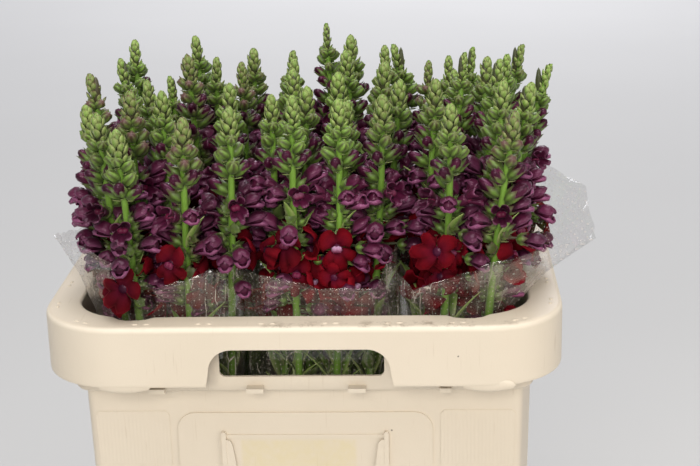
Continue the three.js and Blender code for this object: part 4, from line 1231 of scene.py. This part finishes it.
def film(bunch, seed):
    """One sleeve: a tube of film through its four levels, crumpled between them."""
    name, edge = bunch[0], list(bunch[5])
    slumped = name == "front_middle"
    if slumped:                               # between its flowers
        edge[1:3] = [(8, 24), (8, 22)]
    levels, outward = sleeve_levels((*bunch[:5], edge))
    rows = [(k, share) for k, shares in enumerate(LEVEL_SHARES) for share in shares]
    count = 12 * COLUMNS_EACH
    lengths = [0]                             # along the rim's ring, for the film's own map
    for i in range(count):
        a, b = (levels[1][k % 12] for k in (i // COLUMNS_EACH, i // COLUMNS_EACH + 1))
        lengths.append(lengths[-1] + math.dist(a, b) / COLUMNS_EACH)

    shape = bmesh.new()
    sheet = shape.loops.layers.uv.new("sheet")
    column = shape.verts.layers.int.new("column")
    crumpled = shape.verts.layers.float.new("crumpled")
    for r, ring in enumerate(ring_rows(shape, column, count, len(rows))):
        k, share = rows[r]
        low, high = levels[k], levels[k + 1]
        for v in ring:
            i, t, run = v[column] // COLUMNS_EACH, v[column] % COLUMNS_EACH / COLUMNS_EACH, lengths[v[column]]
            j = (i + 1) % 12
            x, y, z = between(between(low[i], low[j], t), between(high[i], high[j], t), share)
            way = Vector((*between(outward[i], outward[j], t), 0)).normalized()
            # broad waves, with sharp folds where the film bunches up at its corners and along its edge
            spot = Vector((run / 24, z / 60, seed * 7.7))
            sharp = 0.5 - abs(noise.noise(Vector((run / 9, z / 42, seed * 3.1))))
            corner = min(abs(i + t - c) for c in (-0.5, 2.5, 5.5, 8.5, 11.5))
            crowded = 0.45 if slumped and way.y < -0.7 else 1 - 0.8 * eased(0.5, 1.4, corner)
            beside = 1.4 if abs(way.x) > 0.9 else 0
            fold = noise.noise(spot) * 2.4 + (sharp * 4.2 - 1.2) * crowded + beside
            if r == len(rows) - 1:
                z += noise.noise(spot * 2.2) * 3.5
            flap = r >= UPPER_ROW and bunch[5][i][0] > 14
            v[crumpled] = crowded * (0.1 if flap else 1)
            v.co = (Vector((x, y, z)) + way * fold * (1 if r else 0.4)) * MM
    for face in shape.faces:
        face.smooth = True
        columns = [loop.vert[column] for loop in face.loops]
        at_seam = max(columns) - min(columns) > 1
        for loop, c in zip(face.loops, columns):
            loop[sheet].uv = (lengths[count if at_seam and c == 0 else c], loop.vert.co.z / MM)
    bmesh.ops.recalc_face_normals(shape, faces=shape.faces[:])
    piece = made_object("sleeve_%s_film" % name, shape, FILM_CLEAR)
    wall = piece.modifiers.new("wall", "SOLIDIFY")
    wall.thickness, wall.offset = 0.3 * MM, 0
    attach(piece, "root")
    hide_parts("sleeve_" + name)


for seed, bunch in enumerate(BUNCHES):
    film(bunch, seed)


# ---- container ----
CORNER = 12                   # steps round a corner; then the points' shares along the straight parts
LONG = (-0.97, -0.93, -0.885, -0.84, -0.68, -0.5, -0.3, -0.1, 0.1, 0.3, 0.5, 0.68, 0.84, 0.885, 0.93, 0.97)
SHORT = (-0.9, -0.65, -0.35, -0.12, 0.12, 0.35, 0.65, 0.9)
SOFT = 7                      # how far a cut corner's two edges are rounded
JOG = 7.5                     # how far the mouth steps out near its corners
BOSS_PITCH = 53.35            # between the pairs of small bosses round the rim


def grown(size, d):
    """A ring's size let out by d; a cut corner keeps its cut."""
    return tuple(v + d * (i < 2 or len(size) == 3) for i, v in enumerate(size))


def body_size(z):
    return between(BODY_FOOT, BODY_TOP, (z - FOOT_Z) / (RIM_Z - STEP - FOOT_Z))


def well_size(z):
    """The inside between the mouth and the well's foot."""
    return between(WELL, MOUTH, (z - RIM_Z + STEP - WALL) / (STEP - 2 * WALL))


def ring_spots():
    """Where each point of an oblong ring lies: its side in x and y, then how far along that straight
    part, or how far round the corner from the short side to the long one."""
    spots = []
    for sx, sy in ((1, 1), (-1, 1), (-1, -1), (1, -1)):
        turns = [i / CORNER for i in range(CORNER + 1)]
        if sx == sy:
            spots += [(sx, sy, t) for t in turns] + [(-sy * share, sy, None) for share in LONG]
        else:
            spots += [(sx, sy, t) for t in turns[::-1]] + [(sx, sx * share, None) for share in SHORT]
    return spots


SPOTS = ring_spots()


def corner_at(size, t):
    """A corner's point, from its end on the short side at t = 0 to that on the long side at t = 1."""
    half_x, half_y, *corner = size
    if len(corner) == 1:
        angle = t * math.pi / 2
        return half_x - corner[0] * (1 - math.cos(angle)), half_y - corner[0] * (1 - math.sin(angle))
    cut_x, cut_y = corner
    steep = Vector((-cut_x, cut_y)).normalized() * SOFT
    first, last = Vector((half_x, half_y - cut_y)), Vector((half_x - cut_x, half_y))
    if 1 / 3 < t < 2 / 3:
        at = (first + steep).lerp(last - steep, t * 3 - 1)
    else:
        pivot, into, along = first, Vector((0, -SOFT)), steep
        if t > 0.5:
            pivot, into, along = last, Vector((-SOFT, 0)), -steep
        turned = min(1, t * 3, 3 - t * 3)
        at = pivot + into * (1 - turned) ** 2 + along * turned ** 2
    return at.x, at.y


def ring_point(spot, size, z, jog):
    u, v, t = spot
    if t is None:
        end_x, end_y = corner_at(size, 1)[0], corner_at(size, 0)[1]
        x, y = (u * size[0], v * end_y) if abs(u) == 1 else (u * end_x, v * size[1])
    else:
        x, y = corner_at(size, t)
        x, y = u * x, v * y
    if jog:
        y += math.copysign(JOG, y) * eased(122, 135, abs(x)) * (1 - eased(150, 163, abs(x)))
    return Vector((x, y, z)) * MM


def round_over(size, z, r, side, angles):
    """Rings that round the rim's upper edge over with radius r, on its outer (1) or inner (-1) side."""
    return [(grown(size, side * (math.cos(math.radians(a)) - 1) * r), z - r + math.sin(math.radians(a)) * r)
            for a in angles]


def container_rings():
    """The wall's rings from under the foot, up the outside, over the rim and down the inside."""
    rim, top, skirt = RIM_Z, RIM_Z - STEP, RIM_Z - SKIRT
    foot = ((-34, 1.2), (-16, 1.2), (-14.6, 0.5), (-14, 0), (-6, 0), (-4, 0), (-2.6, 0.25), (-1.1, 1.1),
            (-0.25, 2.6), (0, FOOT_Z))
    hanging = (
        (-4, rim - 3), (-3, rim - 4), (-3, skirt + 1.2), (-2.8, skirt + 0.3), (-2.2, skirt), (-0.9, skirt),
        (-0.25, skirt + 0.3), (0, skirt + 1.2), (0, skirt + 3), (0, rim - 28), (0, rim - 5.6), (0, rim - 4.6))

    def let_out(size, steps):
        return [(grown(size, d), z) for d, z in steps]
    return [
        *let_out(BODY_FOOT, foot),
        *((body_size(z), z) for z in (5.5, 60, 120, 180, 240, 290, top - 24, top - 2)),
        *let_out(BODY_TOP, ((0, top), (0.4, top + 0.8))),
        *let_out(WELL, ((1.8, top + 1.8), (3, top + 3.4))),
        *((grown(well_size(z), WALL), z) for z in (top + 12, rim - 40, rim - 20)),
        *let_out(MOUTH, ((3, rim - 4), (4, rim - 3))),
        *let_out(RIM, hanging),
        *round_over(RIM, rim, 4.5, 1, (18, 36, 54, 72, 90)),
        *let_out(RIM, ((-5.5, rim), (-14, rim))),
        *let_out(MOUTH, ((3.6, rim), (2.6, rim))),
        *round_over(MOUTH, rim, 2.6, -1, (68, 45, 22, 0)),
        (MOUTH, rim - 4),
        *((well_size(z), z) for z in (rim - 12, rim - 40, top + 12)),
        (WELL, top + 6.5),
        *let_out(BODY_TOP, ((-2.6, top + 1.5), (-WALL, top))),
        *((grown(body_size(z), -WALL), z) for z in (top - 3, 180, 20, 9)),
        *let_out(BODY_FOOT, ((-4, 5.6), (-6.5, 4.2), (-9, 4), (-34, 4)))]


def wall_shape():
    """The whole wall, closed under the foot and on the floor inside."""
    shape, rings, rows = bmesh.new(), container_rings(), []
    column = shape.verts.layers.int.new("column")
    for row, (size, z) in zip(ring_rows(shape, column, len(SPOTS), len(rings)), rings):
        jog = abs(size[0] - MOUTH[0]) < 4.5 and z > RIM_Z - 34
        for v in row:
            v.co = ring_point(SPOTS[v[column]], size, z, jog)
        rows.append(row)
    for end in (rows[0], rows[-1]):
        bmesh.ops.contextual_create(shape, geom=end)
    bmesh.ops.recalc_face_normals(shape, faces=shape.faces[:])
    return shape


def plate(outline, near, far):
    """A slab of this outline (x, z), run between two depths that may change with height."""
    shape = bmesh.new()
    ring = bmesh.ops.create_circle(shape, cap_ends=True, segments=len(outline), radius=1)["verts"]
    for v, (x, z) in zip(ring, outline):
        v.co = Vector((x, near(z), z)) * MM
    made = bmesh.ops.extrude_face_region(shape, geom=shape.faces[:])["geom"]
    for v in made:
        if isinstance(v, bmesh.types.BMVert):
            v.co.y = far(v.co.z / MM) * MM
    bmesh.ops.recalc_face_normals(shape, faces=shape.faces[:])
    return shape


def proud(out, sunk=0.8):
    """The two depths of a plate that stands out of the body's front and is sunk into it."""
    return (lambda z: -body_size(z)[1] - out), (lambda z: -body_size(z)[1] + sunk)


def arched(half, z0, z1, r, steps, foot, low):
    """An upright oblong with rounded top corners, and lower ones too if low isn't 0."""
    corners = [(1, 0, half, z1 - r, r), (-1, 90, half, z1 - r, r)]
    if low:
        corners += [(-1, 180, foot, z0 + low, low), (1, 270, foot, z0 + low, low)]
    points = []
    for side, start, reach, z, radius in corners:
        for i in range(steps + 1):
            a = math.radians(start + 90 * i / steps)
            points.append((side * (reach - radius) + radius * math.cos(a), z + radius * math.sin(a)))
    return points if low else points + [(-foot, z0), (foot, z0)]


def oblong(x0, x1, z0, z1):
    return [(x0, z0), (x1, z0), (x1, z1), (x0, z1)]


def settled(obj):
    """Makes what the object's modifiers do its own mesh."""
    done = bpy.data.meshes.new_from_object(obj.evaluated_get(bpy.context.evaluated_depsgraph_get()))
    obj.modifiers.clear()
    obj.data = done


def half_turned(shape):
    """The same shape again, half a turn round, for the container's back."""
    copy = shape.copy()
    bmesh.ops.rotate(copy, verts=copy.verts[:], cent=(0, 0, 0), matrix=Matrix.Rotation(math.pi, 3, "Z"))
    return copy


def rim_path(inset, along):
    """The point this far along the rim from the middle of its front, and the way along there."""
    half_x, half_y, r = grown(RIM, -inset)
    side, rest = math.copysign(1, along), abs(along)
    at, way = Vector((0, -half_y, 0)), 0.0
    round_corner = (math.pi / 2 * r, True)
    for length, bends in ((half_x - r, False), round_corner, (2 * (half_y - r), False), round_corner,
                          (half_x - r, False)):
        step = min(rest, length)
        ahead = Vector((math.cos(way), math.sin(way), 0))
        leftward = Vector((-math.sin(way), math.cos(way), 0))
        if bends:
            turn = step / r
            at += ahead * r * math.sin(turn)
            at += leftward * r * (1 - math.cos(turn))
            way += turn
        else:
            at += ahead * step
        rest -= step
    return Vector((side * at.x, at.y, RIM_Z)), way * side


def knob(at, half, turn=0):
    """A low round-topped boss, half sunk into the wall it stands on."""
    shape = bmesh.new()
    bmesh.ops.create_uvsphere(shape, u_segments=12, v_segments=6, radius=1)
    bmesh.ops.scale(shape, vec=Vector(half) * MM, verts=shape.verts[:])
    bmesh.ops.rotate(shape, verts=shape.verts[:], cent=(0, 0, 0), matrix=Matrix.Rotation(turn, 3, "Z"))
    bmesh.ops.translate(shape, verts=shape.verts[:], vec=Vector(at) * MM)
    return shape


def cut_grips(wall):
    """Cuts the hand grips: an arch through the skirt and a window through the inner wall, both sides."""
    arch = arched(77, RIM_Z - SKIRT - 2, RIM_Z - GRIP_TOP, 20, 10, 80, 0)
    window = arched(WINDOW_HALF, RIM_Z - WINDOW_SILL, RIM_Z - GRIP_TOP + 4, 5, 5, WINDOW_HALF, 5)
    cutters = []
    for side in (-1, 1):
        for outline, middle in ((arch, RIM[1] - 1.5), (window, MOUTH[1] + 1.5)):
            slab = plate(outline, lambda z: side * middle - 6, lambda z: side * middle + 6)
            cutters.append(made_object("cutter", slab))
            cut = wall.modifiers.new("cut", "BOOLEAN")
            cut.operation, cut.object, cut.solver = "DIFFERENCE", cutters[-1], "EXACT"
    settled(wall)
    for cutter in cutters:
        bpy.data.objects.remove(cutter)


def card_holder():
    """The panel on the front, the holder's rails, sill and mark on it, and the ribbed fields beside it."""
    low, high, field = RIM_Z - RAIL_FOOT, RIM_Z - RAIL_TOP, RIM_Z - 92.5
    panel = arched(PANEL_HALF, 57, RIM_Z - PANEL_TOP, 16, 6, PANEL_HALF, 6)
    mirrored = (
        (proud(5), [(69.5, low), (73.5, low), (73.5, high), (72.6, high + 1.6), (70.8, high + 1.4),
                    (69.5, high)]),
        (proud(4.6, -3.0), [(60.5, low), (70, low), (70, high - 6), (67.6, high - 6.2), (65.6, high - 7.6),
                            (64.4, high - 10), (63.4, high - 16), (61, high - 34)]),
        (proud(0.6), [(122, 58), (175, 58), (178, 62), (184, field - 3.5), (181, field), (122, field),
                      (119, field - 3.5), (119, 62)]))
    plates = [plate(panel, *proud(1.4))]
    for side in (-1, 1):
        plates += [plate([(side * x, z) for x, z in outline], *depths) for depths, outline in mirrored]
    return plates + [plate(oblong(-70, 70, low, low + 7), *proud(5)),
                     plate(oblong(-70, 70, high - 5.5, high - 2), *proud(2.3)), half_turned(plates[0])]


def under_skirt():
    """Stacking lugs that show under the skirt, and tabs under the inner wall's foot."""
    lugs = [knob((x, -RIM[1] + 2.2, RIM_Z - SKIRT + 0.4), (23, 1.9, 6.2)) for x in (-149, 159)]
    tabs = [plate(oblong(x0, x1, RIM_Z - 67, RIM_Z - 63), lambda z: -MOUTH[1] - 12, lambda z: -MOUTH[1] - 1)
            for x0, x1 in ((-131, -118), (-47.4, -32.8), (40, 55), (118, 128))]
    return lugs + tabs


def container():
    """One moulding: wall, rim and skirt, cut for the grips, with the card holder and the bosses on it."""
    wall = made_object("container_moulding", wall_shape(), CREAM)
    cut_grips(wall)
    front = under_skirt()
    details = card_holder() + front + [half_turned(shape) for shape in front]
    for n in range(-13, 13):                 # pairs of small bosses round the rim
        for gap in (-4.8, 4.8):
            at, way = rim_path(10, (n + 0.5) * BOSS_PITCH + gap)
            details.append(knob(at, (2.9, 1.7, 0.9), way))
    whole = bmesh.new()
    whole.from_mesh(wall.data)
    bmesh.ops.remove_doubles(whole, verts=whole.verts[:], dist=0.002 * MM)
    for shape in details:
        add_shape(whole, shape)
    for face in whole.faces:
        face.smooth = True
    whole.to_mesh(wall.data)
    whole.free()
    edge = wall.modifiers.new("moulded_edges", "BEVEL")
    edge.width, edge.segments, edge.limit_method, edge.angle_limit = 0.6 * MM, 2, "ANGLE", math.radians(40)
    edge.harden_normals = edge.use_clamp_overlap = True
    settled(wall)
    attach(wall, "root")
    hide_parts("container")


container()

WATER = still_water()
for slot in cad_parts["water"].material_slots:      # the water keeps its solid's shape
    slot.material = WATER


# ---- floor, light and camera ----
ground = bmesh.new()
bmesh.ops.create_grid(ground, x_segments=1, y_segments=1, size=12)
made_object("floor", ground, painted_floor())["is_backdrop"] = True


def lamp(name, at, target, size, power, colour):
    """A square softbox that faces its target."""
    light = bpy.data.lights.new(name, "AREA")
    light.shape, light.size, light.energy, light.color = "SQUARE", size, power, linear(colour)[:3]
    made = bpy.data.objects.new(name, light)
    made.location = at
    made.rotation_euler = (Vector(target) - Vector(at)).to_track_quat("-Z", "Y").to_euler()
    bpy.context.collection.objects.link(made)


lamp("key_softbox", (-0.3, -2.9, 1.7), (0, 0, 0.35), 1.3, 58, "#fffaf2")
lamp("fill_softbox", (2.3, -1.8, 1.2), (0, 0, 0.35), 2.0, 29, "#fff6ea")
lamp("top_softbox", (0, -0.3, 2.6), (0, 0, 0.4), 1.6, 40, "#ffffff")
lamp("back_softbox", (0.3, 4.9, 3.4), (0.1, 4.6, 0), 2.6, 185, "#f8f9ff")

scene = bpy.context.scene
world = bpy.data.worlds.new("pale_studio")
world.use_nodes = True
backdrop = world.node_tree.nodes["Background"]
backdrop.inputs["Color"].default_value = linear("#eef0f3")
backdrop.inputs["Strength"].default_value = 0.55
scene.world = world
scene.view_settings.view_transform = "Standard"
scene.cycles.transparent_max_bounces = 24                # the film stands in many layers

EYE = (0.1052, -1.34917, 0.87533)
PITCH, YAW, ROLL = (math.radians(a) for a in (17.9, -2.87, -1.4427))
ahead = Vector((math.sin(YAW) * math.cos(PITCH), math.cos(YAW) * math.cos(PITCH), -math.sin(PITCH)))
level = Vector((math.cos(YAW), -math.sin(YAW), 0))
upright = level.cross(ahead)
right = level * math.cos(ROLL) + upright * math.sin(ROLL)
upward = upright * math.cos(ROLL) - level * math.sin(ROLL)
lens = bpy.data.cameras.new("camera")
lens.sensor_width, lens.sensor_fit, lens.lens, lens.clip_end = 36, "HORIZONTAL", 78.75, 60
camera = bpy.data.objects.new("camera", lens)
rows = [[*row, at] for row, at in zip(zip(right, upward, -ahead), EYE)]
camera.matrix_world = Matrix(rows + [[0, 0, 0, 1]])
bpy.context.collection.objects.link(camera)
scene.camera = camera

bpy.context.view_layer.update()
[[list(map(float, corner)) for corner in box] for box in (CAD_BOX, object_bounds())]
